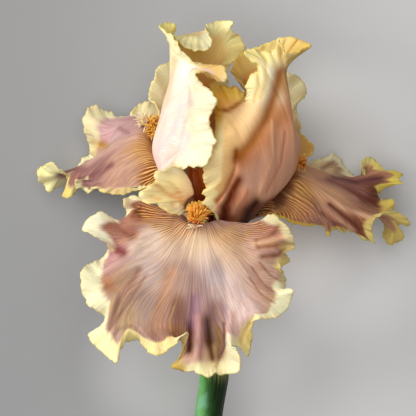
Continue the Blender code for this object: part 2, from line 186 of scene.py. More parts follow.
# Soft round pools of painted light that lighten the board where the flower's shadow falls: middle,
# outer and inner reach in metres, colour.
for x, y, outer, inner, tint in ((0.046, 0.02, 0.05, 0.016, (223, 224, 226)),
                                 (0.03, 0.028, 0.03, 0.004, (250, 250, 251)),
                                 (0.013, -0.016, 0.03, 0.006, (216, 217, 219)),
                                 (-0.0235, -0.022, 0.04, 0.01, (190, 191, 193)),
                                 (0.05, -0.06, 0.08, 0.01, (208, 209, 211)),
                                 (0.0565, 0.069, 0.042, 0.01, (212, 213, 215)),
                                 (0.031, 0.078, 0.036, 0.004, (216, 217, 219))):
    light_pool_distance = board_place.into("ShaderNodeVectorMath", {1: (x, y, 0.0)}, "Value", operation="DISTANCE")
    board_painted_light = light_pool_distance.rise(outer, inner).blend(board_painted_light, paint(*tint))
board_finish.coat(board_painted_light)
board_mesh = bpy.data.meshes.new("board")
board_corners = [(x * BOARD_REACH, y * BOARD_REACH, 0) for x, y in ((-1, -1), (1, -1), (1, 1), (-1, 1))]
board_mesh.from_pydata(board_corners, [], [(0, 1, 2, 3)])
board_mesh.materials.append(board_finish.material)
add_object("board", board_mesh)

add_lamp("key_lamp", place=(-1.1, 0.34, 0.5), size=0.7, power=10.6, tint=(1.0, 0.98, 0.95))
add_lamp("top_lamp", place=(-0.35, 0.3, 1.7), size=1.6, power=24.0, tint=(1.0, 0.985, 0.96))
room = bpy.data.worlds.new("room")
room.use_nodes = True
room_light = room.node_tree.nodes["Background"].inputs
room_light["Color"].default_value = (0.83, 0.81, 0.79, 1.0)
room_light["Strength"].default_value = 0.3
bpy.context.scene.world = room
bpy.context.scene.view_settings.view_transform = "Standard"

CAMERA_PLACE = Vector((0.0004, 0.0176, 3.0))  # metres from the heart: straight above the flower
VIEW_WIDTH = 0.1664
lens = bpy.data.cameras.new("camera")
lens.sensor_width = 36.0
lens.lens = lens.sensor_width * CAMERA_PLACE.z / VIEW_WIDTH
lens.clip_end = 100.0
camera = add_object("camera", lens)
camera.location = heart + CAMERA_PLACE
bpy.context.scene.camera = camera

# The stem: a round solid flower stalk with a blue-grey bloom and fine lengthwise ridges, cut straight
# across at the foot, where the pale pith shows, with a slightly raised ring in it.
STEM_CUT = -138.0
STEM_JOINT = -57.0
STEM_TILT = 0.27357
STALK_SIDES = 72


def stem_point(y):
    """Middle of the stem at y, in mm from the heart, with its slight bend below the flower."""
    bend = 1.2 + 2.2 * np.exp(-((y + 48.0) / 14.0) ** 2) - 4.5 * (min(y, 0) / STEM_CUT) ** 2
    return np.array([bend, y, y * STEM_TILT])


def ripple(x, length, seed):
    """Uneven wave of about that length, from -1 to 1."""
    chance = np.random.default_rng(seed)
    total = 0.0
    for _ in range(5):
        stretch = chance.uniform(0.6, 1.7)
        phase = chance.uniform(0, 2 * np.pi)
        size = chance.uniform(0.5, 1)
        total = total + size * np.sin(2 * np.pi * x / (length * stretch) + phase)
    return total / 3.2


def put_together(name, grid, finish, marks, form="sheet"):
    """Object at the origin from rows of points in mm from the heart, with numbers or colours on them.

    The rows of a sleeve are closed rings; a rod has its first and its last ring covered as well.
    """
    rows, columns = grid.shape[:2]
    faces = []
    for row in range(rows - 1):
        for column in range(columns - 1 if form == "sheet" else columns):
            after = (column + 1) % columns
            faces.append((row * columns + column, row * columns + after,
                          (row + 1) * columns + after, (row + 1) * columns + column))
    if form == "rod":
        faces.append(tuple(range(columns - 1, -1, -1)))
        faces.append(tuple(range((rows - 1) * columns, rows * columns)))
    mesh = bpy.data.meshes.new(name)
    mesh.from_pydata((grid.reshape(-1, 3) * MM + np.array(heart)).tolist(), [], faces)
    for key, data in marks.items():
        colour = np.ndim(data) == 3
        layer = mesh.attributes.new(key, "FLOAT_COLOR" if colour else "FLOAT", "POINT")
        data = np.broadcast_to(data, (rows, columns, 4) if colour else (rows, columns))
        layer.data.foreach_set("color" if colour else "value", data.astype(np.float32).ravel())
    mesh.materials.append(finish.material)
    mesh.shade_smooth()
    return add_object(name, mesh)


def hand_over(piece, node):
    """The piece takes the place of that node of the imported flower."""
    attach(piece, "root")
    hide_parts(node)


def unit(ways):
    """The ways as directions of length 1."""
    return ways / np.maximum(np.linalg.norm(ways, axis=-1), 1e-9)[..., None]


def round_stalk(centres, radii, sides, ridges=0.0, ridge_count=9):
    """Rings of points round the centres, from the foot up."""
    ahead = unit(np.gradient(centres, axis=0))
    right = unit(np.array([1.0, 0.0, 0.0]) - ahead * ahead[:, :1])
    up = np.cross(right, ahead)
    turn = np.linspace(0, 2 * np.pi, sides, endpoint=False)
    reach = radii[:, None] * (1 + ridges * np.cos(ridge_count * turn)[None])
    return (centres[:, None] + (reach * np.cos(turn))[..., None] * right[:, None]
            + (reach * np.sin(turn))[..., None] * up[:, None])


def drawn_in(ring, middle, shares):
    """The ring at each share of its own size, to close off an end."""
    return [middle + (ring - middle) * share for share in shares]


stem_y = np.concatenate([np.linspace(STEM_CUT, -62, 70), np.linspace(-61.5, STEM_JOINT, 8)])
stem_middle = np.array([stem_point(y) for y in stem_y])
stem_radius = np.interp(stem_y, [STEM_CUT, -115, -90, -72, STEM_JOINT], [4.3, 4.1, 4.0, 4.0, 3.7])
stem_radius = stem_radius + 0.06 * ripple(stem_y, 22.0, 3)
stem_rings = round_stalk(stem_middle, stem_radius, STALK_SIDES, ridges=0.012, ridge_count=18)
foot_shares = np.array([0.12, 0.3, 0.5, 0.7, 0.86, 0.94])
foot_depths = 0.12 + 0.1 * np.sin(9 * foot_shares)
foot_rings = (drawn_in(stem_rings[0], stem_middle[0], foot_shares)
              - unit(stem_middle[1] - stem_middle[0]) * foot_depths[:, None, None])
top_rings = drawn_in(stem_rings[-1], stem_middle[-1], (0.8, 0.5, 0.2))
stem_grid = np.concatenate([foot_rings, stem_rings, top_rings])
stem_is_cut = np.arange(len(stem_grid)) < len(foot_rings)

stem_finish = Finish("stem_green", 0.42, 0.45)
stem_place = stem_finish.place()
stem_streaks = stem_finish.noise(stem_place.stretched(900, 40, 900), 1.0, 4.0, 0.6)
stem_bloom = stem_finish.noise(stem_place, 160.0, 6.0, 0.65)
stem_colour = stem_streaks.rise(0.35, 0.7).blend(paint(36, 74, 30), paint(66, 112, 58))
stem_colour = (stem_bloom.rise(0.42, 0.66) * 0.55).blend(stem_colour, paint(96, 140, 112))
stem_colour = stem_finish.mark("cut").blend(stem_colour, paint(196, 205, 150))
stem_finish.coat(stem_colour.deepened(1.15), stem_streaks, 0.35)
stem = put_together("flower_stem", stem_grid, stem_finish, {"cut": stem_is_cut[:, None]}, "rod")
hand_over(stem, "stem")

# The spathes: two thin leafy sheaths wrapped round the top of the stem, green below and papery along
# their rims, each rising to a point on one side.
SPATHE_SIDES = 96
SPATHE_RINGS = 44
SPATHE_THICKNESS = 0.3

spathe_finish = Finish("spathe_leaf", 0.5, 0.2)
spathe_place = spathe_finish.place()
spathe_height = spathe_finish.mark("height")
spathe_ribs = spathe_finish.streaks(spathe_finish.mark("around") * 60.0, spathe_height * 3.0)
spathe_mottle = spathe_finish.noise(spathe_place, 190.0, 5.0)
# Painted light and shade across the sheaths: pale green on the left, where the lamp falls, then deep green
# and near black on the right, a little broken up by the mottle.
spathe_painted_shading = (spathe_place.across() - (heart.x + 0.3 * MM)) / (5.0 * MM) + spathe_mottle.centred(0.5)
spathe_colour = spathe_painted_shading.rise(-0.6, 0.1).blend(paint(126, 184, 116), paint(58, 104, 50))
spathe_colour = spathe_painted_shading.rise(0.0, 0.8).blend(spathe_colour, paint(28, 54, 14))
spathe_colour = (spathe_ribs.rise(0.4, 0.7) * 0.2).blend(spathe_colour, paint(96, 140, 70))
# The pale bloom is a real mottle, but it is kept to the lit left side, so it is also a painted highlight.
spathe_bloom_and_highlight = spathe_mottle.rise(0.45, 0.62) * spathe_painted_shading.rise(0.3, -0.3)
spathe_colour = (spathe_bloom_and_highlight * 0.6).blend(spathe_colour, paint(150, 200, 176))
spathe_paper = (spathe_height + spathe_ribs * 0.25).rise(1.0, 1.18)
spathe_colour = spathe_paper.blend(spathe_colour, paint(176, 178, 120))
spathe_finish.coat(spathe_colour.deepened(1.25), spathe_ribs, 0.4)


def thicken(piece, thickness):
    """Gives the sheet a thickness in mm, half of it on each side."""
    wall = piece.modifiers.new("thickness", "SOLIDIFY")
    wall.thickness = thickness * MM
    wall.offset = 0.0


def add_spathe(name, turn, foot_y, rim_y, tip_y, foot_radius, full_radius, seed):
    """Sheath round the stem: open at both ends, its rim rising to a point."""
    around = np.linspace(0, 2 * np.pi, SPATHE_SIDES, endpoint=False)
    ahead = np.array([0.0, 1.0, STEM_TILT]) / np.hypot(1.0, STEM_TILT)
    right = np.array([1.0, 0.0, 0.0])
    up = np.cross(right, ahead)
    lift = (tip_y - rim_y) * (0.5 + 0.5 * np.cos(around - turn)) ** 2
    rings = []
    for t in np.linspace(0, 1, SPATHE_RINGS):
        swell = np.sin(np.pi / 2 * min(1.0, t / 0.35))
        flare = foot_radius + (full_radius - foot_radius) * (0.55 * swell + 0.45 * t**3)
        level = foot_y + (rim_y - foot_y) * t
        ribs = 0.05 * swell * np.cos(26 * around) + 0.08 * t**3 * ripple(around * 9, 7.0, seed)
        rings.append([stem_point(level + t**2 * high) + (flare + rib) * (np.cos(a) * right + np.sin(a) * up)
                      for a, high, rib in zip(around, lift, ribs)])
    made = put_together(name + "_leaf", np.array(rings), spathe_finish,
                        {"around": np.abs(np.linspace(-1, 1, SPATHE_SIDES)),
                         "height": np.linspace(0, 1, SPATHE_RINGS)[:, None]}, "sleeve")
    thicken(made, SPATHE_THICKNESS)
    hand_over(made, name)


add_spathe("spathe_outer", turn=np.radians(205), foot_y=-96, rim_y=-46.5, tip_y=-34,
           foot_radius=4.62, full_radius=5.85, seed=11)
add_spathe("spathe_inner", turn=np.radians(20), foot_y=-88, rim_y=-60, tip_y=-40,
           foot_radius=4.6, full_radius=4.9, seed=12)

# The ovary and the perianth tube: the ribbed yellow-green seed vessel on top of the stem, and the
# short tube above it, which widens into the ring that all the petals grow from.
OVARY_RINGS = 46
ovary_finish = Finish("ovary_green", 0.45, 0.4)
ovary_streaks = ovary_finish.noise(ovary_finish.place().stretched(700, 60, 700), 1.0, 4.0)
ovary_colour = ovary_streaks.rise(0.35, 0.65).blend(paint(104, 128, 52), paint(150, 168, 84))
ovary_top = ovary_streaks.rise(0.4, 0.6).blend(paint(176, 168, 96), paint(150, 100, 84))
ovary_colour = ovary_finish.mark("height").rise(0.35, 1.0).blend(ovary_colour, ovary_top)
ovary_finish.coat(ovary_colour, ovary_streaks, 0.3)


def add_green_stalk(name, levels, radii, ridges, heights):
    """Ribbed stalk from its lowest level to its highest, closed at both ends."""
    y = np.linspace(levels[0], levels[-1], OVARY_RINGS)
    middle = np.array([stem_point(v) for v in y])
    rings = round_stalk(middle, np.interp(y, levels, radii), STALK_SIDES, ridges, ridge_count=6)
    rings = np.concatenate([drawn_in(rings[0], middle[0], (0.2, 0.5, 0.85)), rings,
                            drawn_in(rings[-1], middle[-1], (0.85, 0.5, 0.2))])
    height = np.linspace(*heights, len(rings))[:, None]
    made = put_together(name + "_wall", rings, ovary_finish, {"height": height}, "rod")
    hand_over(made, name)


add_green_stalk("ovary", levels=[-56.6, -51, -43, -34, -24], radii=[3.2, 3.9, 4.1, 4.0, 3.3],
                ridges=0.035, heights=(0.0, 0.45))
add_green_stalk("perianth_tube", levels=[-23.6, -16, -7, -0.1], radii=[3.1, 3.2, 4.3, 6.5],
                ridges=0.02, heights=(0.45, 1.0))

# The falls: the three outer petals. Each springs from the tube as a narrow claw, then opens into a
# broad blade that hangs and is crimped all round its margin. Veins run from the claw to the margin.
PETAL_THICKNESS = 0.42
BOARD_GAP = 0.1  # mm between a petal and the board under it
CRIMP_REACH = 9.0  # how far in from the margin the petals are crimped, in mm
FRILL_REACH = 4.0  # the same for the finer frill of the rim
TOOTH_REACH = 2.5  # the same for the teeth
FOLD_SHADING_ON_GROUND = 0.95  # how strongly a fold's painted shade or highlight covers the ground
FOLD_SHADING_ON_MARGIN = 0.5  # the same for the margin

FALL_FRONT = [
    (0.0, [(-1.6, -0.7, 4.9), (1.2, -0.9, 5.7), (4, -0.7, 4.9)]),
    (0.06, [(-5, 7, 12), (-2, 6, 13.5), (1.5, 7.5, 12)]),
    (0.13, [(-8, 13, 17), (-8, 12, 22), (-4, 11, 26), (0, 11.5, 22), (2.5, 12, 18)]),
    (0.25, [(-12, 15.5, 22), (-14, 9, 31), (-11, 3, 36), (-5, 0, 39), (1, 3, 37), (6, 8, 31), (9, 12, 24)]),
    (0.45, [(-19, 18, 22), (-24, 9, 31), (-21, -2, 37), (-15, -10, 41), (-7, -14, 44), (1, -14, 44.5),
        (8, -9, 42), (14, 0, 37), (15.5, 11.5, 24.5)]),
    (0.65, [(-24, 20, 21), (-30, 11, 30), (-30, 4, 34), (-32, -8, 38), (-29, -20, 41), (-21, -25, 44),
        (-10, -28, 44), (-2, -30, 46), (6, -25, 44), (13, -20, 43), (20, -10, 39), (22, 0, 36),
        (20, 12.5, 24.5)]),
    (0.85, [(-26, 21, 20), (-29, 16.5, 26), (-35, 11.5, 27), (-38, 7, 33), (-36, 0, 32), (-43, -9, 36),
        (-38, -20, 39), (-38, -32, 38), (-30, -29.5, 41), (-23, -33, 45), (-14, -33, 45), (-9, -36, 42),
        (-4, -42, 46), (6, -42, 41), (9, -35, 46), (13, -31, 41), (17, -24, 44), (26, -21, 40),
        (28, -13, 36), (28, -2, 33), (28, 7, 32), (22.5, 13.5, 24)]),
    (1.0, [(-27, 22, 19), (-32, 22, 22), (-33.5, 19, 25), (-31.5, 15.5, 21), (-33, 13.5, 19), (-37, 12, 20),
        (-39, 14.5, 26), (-43, 16, 30), (-49.5, 10, 31), (-44, 6.5, 36), (-40, 4, 33), (-39, 2, 26),
        (-40, -1, 24), (-44, -3.5, 29), (-49, -6, 35), (-50, -11, 37), (-48.5, -18, 36), (-45, -22.5, 37),
        (-41.5, -24, 34), (-41, -28, 32), (-47, -33, 36), (-43, -38, 38), (-40, -40.5, 41),
        (-36, -43.5, 44), (-34, -38, 38), (-31, -35, 34), (-27.5, -34.5, 35), (-24, -38, 42),
        (-21, -40.5, 46), (-16.5, -39.5, 47), (-13, -36, 50), (-7.5, -31, 54), (-9.5, -38, 46),
        (-12, -43, 40), (-14, -45, 38), (-9, -47, 38), (-5, -47, 43), (0, -49, 46), (3, -48, 44),
        (7, -48, 42), (11.5, -47.5, 44), (13.5, -44, 46), (11.5, -38, 49), (9.5, -37, 47), (13, -37.5, 42),
        (16, -41, 40), (17, -38, 38), (18, -33, 38), (17.5, -29, 42), (20.5, -26, 45), (26, -26, 42),
        (31, -23, 38), (33.5, -18, 36), (34, -15, 38), (30.5, -15, 34), (31.5, -11, 28), (29, -6.5, 36),
        (33, -3, 26), (31, 0, 30), (34.5, 1.5, 31), (34, 6, 33), (32.5, 9.5, 31), (29.5, 12.5, 28),
        (26.5, 15, 25), (24.5, 15.3, 23.5)]),
]
FALL_LEFT = [
    (0.0, [(-4.6, 0.7, -0.2), (-3.8, 1.4, -2.9), (-1.9, 2, -4.9)]),
    (0.12, [(-9, 13, 1), (-12.5, 15, -4), (-9.5, 14, -12)]),
    (0.3, [(-12.5, 22.5, 3), (-19, 34, 3), (-22.5, 42, -1), (-23.5, 47.5, -6), (-21, 51, -13),
        (-16.5, 48, -20), (-13.5, 36, -21)]),
    (0.5, [(-15, 25.5, 4), (-28, 31, 4), (-33, 36, 1), (-34, 40, -2), (-34, 44, -7), (-34, 47, -12),
        (-33, 51, -17), (-25, 53.5, -22), (-13.5, 42, -22)]),
    (0.72, [(-16.5, 26.3, 5), (-32, 26, 4), (-41, 28.5, 0), (-44, 31.5, -6), (-47, 33, -11), (-50, 34, -16),
        (-49, 35.5, -22), (-46, 37, -27), (-42, 41, -25), (-41, 48, -22), (-36, 52.5, -24), (-24, 55, -26),
        (-17, 50, -24.5), (-14.5, 45, -23.5)]),
    (0.88, [(-17.5, 27, 5.5), (-26, 26.5, 5), (-37, 25, 3), (-44, 27, -3), (-48, 29, -10), (-52, 30, -14),
        (-56, 31, -18), (-61, 32, -24), (-61.5, 29.5, -30), (-56, 31, -34), (-50.5, 34.8, -35),
        (-46, 37.5, -33), (-44.3, 41, -28), (-45, 46, -26), (-46.5, 53, -25), (-40, 54.5, -28),
        (-31, 54, -28), (-25, 57, -27), (-18.5, 54.5, -26), (-15.6, 49, -24.8)]),
    (1.0, [(-18.5, 27.3, 6), (-21.5, 27, 7), (-25, 25.5, 6), (-30, 24, 4), (-34, 23, 3), (-39, 23.3, 1),
        (-43, 24.5, -2), (-46, 25.5, -3), (-47.5, 23.5, -8), (-50, 25, -11), (-53, 26, -9), (-52.5, 29, -6),
        (-49.5, 28, -12), (-52, 25, -17), (-56, 21.5, -14), (-58, 23, -18), (-55.5, 28, -20),
        (-57, 31, -16), (-60, 34, -14), (-63, 36, -18), (-66, 34.5, -24), (-68, 33.5, -28),
        (-68.5, 30, -26), (-66.5, 27, -31), (-64, 24.5, -31), (-61.5, 26, -36.5), (-59, 26.5, -40),
        (-56.5, 29, -41), (-54, 33, -42.4), (-51.5, 36, -41.5), (-49, 38.5, -41), (-47, 39.5, -34),
        (-47.5, 40.5, -30), (-47.5, 43, -30), (-48.5, 46, -28), (-49.5, 49, -25), (-50, 53, -27),
        (-48.5, 57, -25), (-46, 59, -28), (-42, 57.5, -30), (-37, 55, -31), (-33, 54, -30), (-30, 57, -27),
        (-27, 60, -29), (-24, 60.5, -27), (-21, 61, -29), (-18, 59, -28), (-16.5, 55, -26),
        (-15.5, 50, -25.5)]),
]
FALL_RIGHT = [
    (0.0, [(7, 0.7, -0.2), (6.2, 1.4, -2.9), (4.3, 2, -4.9)]),
    (0.12, [(12, 8.5, 1.5), (16.5, 12.5, -3), (12.5, 9.5, -10.5)]),
    (0.3, [(14.5, 11, 3.4), (21.5, 20, 7.2), (28, 24.5, 8), (31, 28.5, 3), (31, 30.5, -4), (27, 27, -14),
        (19, 20, -17)]),
    (0.5, [(17.5, 12.8, 5.2), (25, 20.5, 9), (33, 21, 10), (38.5, 21.5, 8), (41, 23, 4), (42, 27.5, -1),
        (42, 31, -6), (40, 34, -12), (34, 32, -18), (24.5, 24.5, -19.5)]),
    (0.72, [(20.8, 14, 7.2), (27, 18.3, 10), (32, 17.6, 10), (38, 16.3, 9), (47, 14, 4), (54, 13, -1),
        (57, 15, -3), (59, 18, -7), (59.5, 21, -12), (60, 24, -16), (60, 27, -19), (57, 29, -22),
        (50, 31.5, -23), (42, 33.5, -23), (30.5, 29.5, -22)]),
    (0.88, [(24, 14.6, 8.8), (30, 15.8, 10.2), (35, 14.5, 9.6), (42, 12.6, 7.2), (48, 12, 2.5),
        (57, 10, -4), (62.5, 9, -5), (65, 14, -4), (74, 13, -13), (73.5, 9, -20), (70, 14, -24),
        (69, 19.5, -24), (68, 26, -23), (72.5, 28.8, -23), (67, 33, -22), (61, 29.5, -25), (54.5, 32, -33),
        (48, 35.5, -27), (37, 33, -24.5)]),
    (1.0, [(27, 15.4, 10), (32, 12.5, 9), (37, 10.8, 8), (42, 10.6, 6), (46, 10.6, 3), (49, 9, 0),
        (48.5, 6.5, 2), (51.5, 9.5, -4), (54, 8, -2), (57, 8.5, -8), (60, 7, -9), (63.5, 5.5, -8),
        (67.5, 3, -9), (66, 8, -4), (66.5, 12, -2), (69.5, 15, -4), (74, 16.5, -8), (79, 14.5, -13),
        (82, 11, -17), (77, 10.5, -20), (79.5, 6, -22), (77, 4, -26), (73.5, 3, -23), (71, 7, -28),
        (73, 13, -30), (75, 17, -26), (75.5, 21, -24), (72, 20.5, -29), (69.5, 21, -33), (68.5, 23, -30),
        (71, 25, -26), (74, 26.5, -24), (78.5, 27.5, -20), (77.5, 29.5, -24), (79, 31.5, -28),
        (74, 32.5, -26), (70, 34, -24), (67.5, 37.5, -26), (64, 38, -22), (62.5, 35, -18), (64, 31.5, -22),
        (61, 29.5, -33), (59, 30.5, -39), (57, 33, -43.5), (55.5, 34.5, -41), (53.5, 38, -40),
        (50.5, 39.5, -35), (47, 38, -33), (43, 36, -28)]),
]


def through(knots, points, t):
    """Smooth curve through points at knots, read at t."""
    knots = np.asarray(knots, float)
    points = np.asarray(points, float)
    gaps = np.diff(knots)
    slopes = np.diff(points, axis=0) / gaps[:, None]
    share = (gaps[1:] / (gaps[:-1] + gaps[1:]))[:, None]
    tangents = np.vstack([slopes[:1], share * slopes[:-1] + (1 - share) * slopes[1:], slopes[-1:]])
    t = np.clip(t, knots[0], knots[-1])
    i = np.clip(np.searchsorted(knots, t, side="right") - 1, 0, len(gaps) - 1)
    s = ((t - knots[i]) / gaps[i])[:, None]
    reach = gaps[i][:, None]
    start = (2 * s**3 - 3 * s**2 + 1) * points[i] + (s**3 - 2 * s**2 + s) * reach * tangents[i]
    return start + (3 * s**2 - 2 * s**3) * points[i + 1] + (s**3 - s**2) * reach * tangents[i + 1]


def lengths(points):
    """Running length in mm at each point of a line, or at each row of a grid."""
    steps = np.linalg.norm(np.diff(points, axis=0), axis=-1)
    return np.concatenate([np.zeros_like(steps[:1]), np.cumsum(steps, axis=0)])


def run_along(points):
    """Running length at each point of a line, 0 to 1."""
    return lengths(points) / np.linalg.norm(np.diff(points, axis=0), axis=-1).sum()


def line_up(points, outer_knots, outer_points, steps=160):
    """Where along the next row out each point of a row belongs, so that the veins run straight out."""
    too_much = 1e12
    a = np.linspace(0, 1, steps)
    far = through(outer_knots, outer_points, a)
    length = np.linalg.norm(np.diff(far, axis=0), axis=1).sum()
    reach = ((points[:, None] - far[None]) ** 2).sum(2)
    share = np.diff(run_along(points))
    cost = np.where(np.arange(steps) == 0, 0.0, too_much)
    back = []
    for i in range(1, len(points)):
        jump = a[None, :] - a[:, None]
        move = cost[:, None] + length**2 * (jump - share[i - 1]) ** 2
        move[jump < 0.25 * share[i - 1]] = too_much
        back.append(move.argmin(0))
        cost = move.min(0) + reach[i]
    j = steps - 1
    at = [j]
    for choice in reversed(back):
        j = choice[j]
        at.append(j)
    return a[np.array(at[::-1])]


def fan(rows, columns, layers):
    """Grid of points over the rows of a petal, from the claw out to the margin."""
    outer = None
    curves = []
    for _, points in reversed(rows):
        points = np.array(points, float)
        if outer is None:
            knots = 0.5 * run_along(points) + 0.5 * np.linspace(0, 1, len(points))
        else:
            knots = line_up(points, *outer)
        outer = (knots, points)
        curves.append(through(knots, points, np.linspace(0, 1, columns)).ravel())
    steps = through([r for r, _ in rows], curves[::-1], np.linspace(0, 1, layers))
    return steps.reshape(layers, columns, 3)


def nearness(grid, x, y, z, reach):
    """1 at a place and softly down to 0 further away than its reach, in mm."""
    return np.exp(-((grid - np.array([x, y, z])) ** 2).sum(2) / reach**2)[..., None]


def dabbed(grid, ground, dabs):
    """Ground value with soft dabs over it: (x, y, z, reach, value)."""
    weight = np.full((*grid.shape[:2], 1), 0.12)
    total = weight * np.asarray(ground, float)
    for *spot, value in dabs:
        near = nearness(grid, *spot)
        weight = weight + near
        total = total + near * np.asarray(value, float)
    return total / weight


def nudged(grid, nudges):
    """Grid with soft pushes: (x, y, z, reach, push)."""
    pushes = [nearness(grid, *spot) * np.array(push) for *spot, push in nudges]
    return grid + sum(pushes, np.zeros(3))


def near_fold(grid, width, lowest, points):
    """How near each point of a petal is to a fold seen from above, in widths, and if it is high enough."""
    gaps = []
    points = np.array(points, float)
    for start, end in zip(points, points[1:]):
        away = grid[..., :2] - start
        share = np.clip((away @ (end - start)) / ((end - start) @ (end - start)), 0, 1)
        gaps.append(np.linalg.norm(away - share[..., None] * (end - start), axis=2))
    return np.min(gaps, axis=0) / width, np.clip((grid[..., 2] - lowest) / 3, 0, 1)


def creased(grid, folds):
    """Grid with its folds pressed in; each has a depth, width, lowest level, colour of painted shade or
    highlight, and line.
    """
    for depth, width, lowest, _, points in folds:
        near, high = near_fold(grid, width, lowest, points)
        grid[..., 2] -= depth * high * 2 / (np.exp(near * 1.6) + np.exp(-near * 1.6))
    return grid


def coloured(grid, tones, folds, strength):
    """Colours of a petal: its first tone, soft dabs of the others, and the painted shade or highlight of
    each fold.
    """
    colours = dabbed(grid, paint(*tones[0]), [(*spot, paint(*tone)) for *spot, tone in tones[1:]])
    # Each fold lays painted shade along a valley, or a painted highlight along a ridge, over the colours.
    for _, width, lowest, tint, points in folds:
        if tint:
            near, high = near_fold(grid, width, lowest, points)
            share = np.minimum(1, strength * high * np.exp(-near**2))[..., None]
            colours = colours + share * (np.array(paint(*tint)) - colours)
    return colours


def smoothed(values, reach):
    """Values averaged along the rows of a petal, over reach points each way."""
    padded = np.pad(values, ((0, 0), (reach, reach)), mode="edge")
    sums = np.cumsum(np.pad(padded, ((0, 0), (1, 0))), axis=1)
    return (sums[:, 2 * reach + 1:] - sums[:, :-2 * reach - 1]) / (2 * reach + 1)


def petal_finish(name, vein, dusk, gold, stripe, brown, shares, relief, depth):
    """Petal skin: streaked ground, veins that fork as they spread, bold stripes and a painted margin."""
    vein_share, dusk_share, gold_share = shares
    finish = Finish(name, 0.5, 0.05, (0.3, (1.0, 0.55, 0.3), 0.0012))
    number, spread, edge, haft, band, soft, out = [
        finish.mark(key) for key in ("vein", "spread", "edge", "haft", "band", "soft", "out")]
    ground = finish.mark("ground", "Color")
    grain = finish.noise(finish.place(), 420.0, 3.0)
    cloud = finish.noise(finish.place(), 90.0, 2.0)

    def streaks(across, along):
        return finish.streaks(number * across, out * along, 0.6)

    # The veins: waves across the petal, twice as many of them wherever they have spread too far apart.
    broad = streaks(0.45, 5.0)
    fine = streaks(2.3, 9.0)
    hair = streaks(7.0, 12.0)
    line = number + cloud.centred(0.9)
    forks = (spread / 1.1).maths("LOGARITHM", 2.0).maths("MAXIMUM", -2.0)
    older, newer = [(line * 2.0 ** (forks.maths("FLOOR") + more) * (2 * np.pi)).maths("COSINE")
                    for more in (0.0, 1.0)]
    turn_over = forks.maths("FRACT").rise(0.15, 0.85)
    wave = older * (turn_over * -1.0 + 1.0) + newer * turn_over + fine.centred(1.3)
    veins = wave.rise(0.3, 1.2) * broad.rise(0.32, 0.62)

    # The ground with its dusky streaks and light hairlines, the veins, and the long golden veins.
    colour = (streaks(1.0, 4.0).rise(0.58, 0.38) * dusk_share).blend(ground, ground.times(dusk))
    colour = (hair.rise(0.4, 0.72) * 0.5).blend(colour, colour.times((1.18, 1.2, 1.2)))
    colour = (wave.rise(-0.3, -1.2) * vein_share).blend(colour, colour.times((0.76, 0.73, 0.68)))
    colour = (veins * vein_share).blend(colour, colour.times(vein))
    long_veins = ((number + cloud.centred(1.6)) * (2 * np.pi / 2.7)).maths("COSINE") + hair.centred(0.3)
    long_veins = long_veins.rise(0.84, 1.0) * streaks(1.1, 3.0).rise(0.4, 0.6)
    colour = (long_veins * gold_share).blend(colour, gold)

    # The bold brown and pale stripes of the claw.
    bold = wave + grain.centred(0.6) - haft * 0.5
    bold = bold.rise(0.45, -0.35).blend(hair.rise(0.35, 0.7).blend(stripe, paint(246, 208, 146)), brown)
    colour = (haft + fine.centred(0.9)).rise(0.15, 0.9).blend(colour, bold)

    # The margin: a band of its own colour with a ragged inner side, and a golden rim.
    ragged = (edge / band - 1.0) / soft + fine.centred(1.6) + cloud.centred(1.6)
    rim = (hair.rise(0.45, 0.7) * 0.25).blend(finish.mark("margin", "Color"), paint(226, 188, 96))
    colour = ragged.rise(1.0, -1.0).blend(colour, rim)
    colour = (edge.rise(0.8, 0.1) * 0.55).blend(colour, paint(222, 196, 100))
    finish.coat(colour.deepened(depth), wave * relief + grain * 0.25, 0.3, 0.00025)
    return finish


def add_petal(node, rows, size, finish, vein_count, seed, tones, rims, bands, hafts=(), folds=(), nudges=(),
              crimp=0.7, vein_gap=1.0):
    """One petal: the fan of its rows, creased, crimped along the margin, ribbed and painted.

    Tones are for the ground and rims for the margin; both mix the petal's own colours with painted
    light and shade. Bands tell how wide the margin's band is and how soft its inner side, and hafts how
    bold the stripes are.
    """
    columns, layers = size
    grid = creased(nudged(fan(rows, columns, layers), nudges), folds)
    a = np.linspace(0, 1, columns)[None]
    r = np.linspace(0, 1, layers)[:, None]
    out = lengths(grid)
    edge = out[-1:] - out
    margin_run = lengths(grid[-1])
    vein = vein_count * a + 0.6 * ripple(a * 40 + r * 2, 5.0, seed) * np.minimum(1, r * 2)
    spread = smoothed(np.linalg.norm(np.gradient(grid, axis=1), axis=2) * (columns - 1) / vein_count, 12)
    spread /= vein_gap

    near = np.clip(1 - edge / CRIMP_REACH, 0, 1) ** 1.6
    nearest = np.clip(1 - edge / FRILL_REACH, 0, 1) ** 1.3
    wave = near * ripple(margin_run, 6.0, seed + 1) + 0.6 * nearest * ripple(margin_run, 2.4, seed + 4)
    pleat = 0.26 * ripple(a * 60, 7.0, seed + 2) * np.clip(out / 20 - 0.3, 0, 1) * np.clip(spread, 0, 1)
    square = unit(np.cross(np.gradient(grid, axis=1), np.gradient(grid, axis=0)))
    grid = grid + square * (crimp * wave + pleat)[..., None]
    teeth = 0.45 * ripple(margin_run, 4.2, seed + 3) + 0.2 * ripple(margin_run, 1.9, seed + 5)
    teeth = teeth * np.clip(1 - edge / TOOTH_REACH, 0, 1)
    grid = grid + unit(np.gradient(grid, axis=0)) * teeth[..., None]
    grid[..., 2] = np.maximum(grid[..., 2], (PETAL_THICKNESS / 2 + BOARD_GAP) - heart.z / MM)

    band = dabbed(grid, bands[0], bands[1:])
    marks = {"ground": coloured(grid, tones, folds, FOLD_SHADING_ON_GROUND),
             "margin": coloured(grid, rims, folds, FOLD_SHADING_ON_MARGIN),
             "vein": vein, "spread": spread, "edge": edge, "band": band[..., 0], "soft": band[..., 1],
             "haft": dabbed(grid, [0.0], hafts)[..., 0], "out": r}
    made = put_together(node + "_petal", grid, finish, marks)
    thicken(made, PETAL_THICKNESS)
    hand_over(made, node)


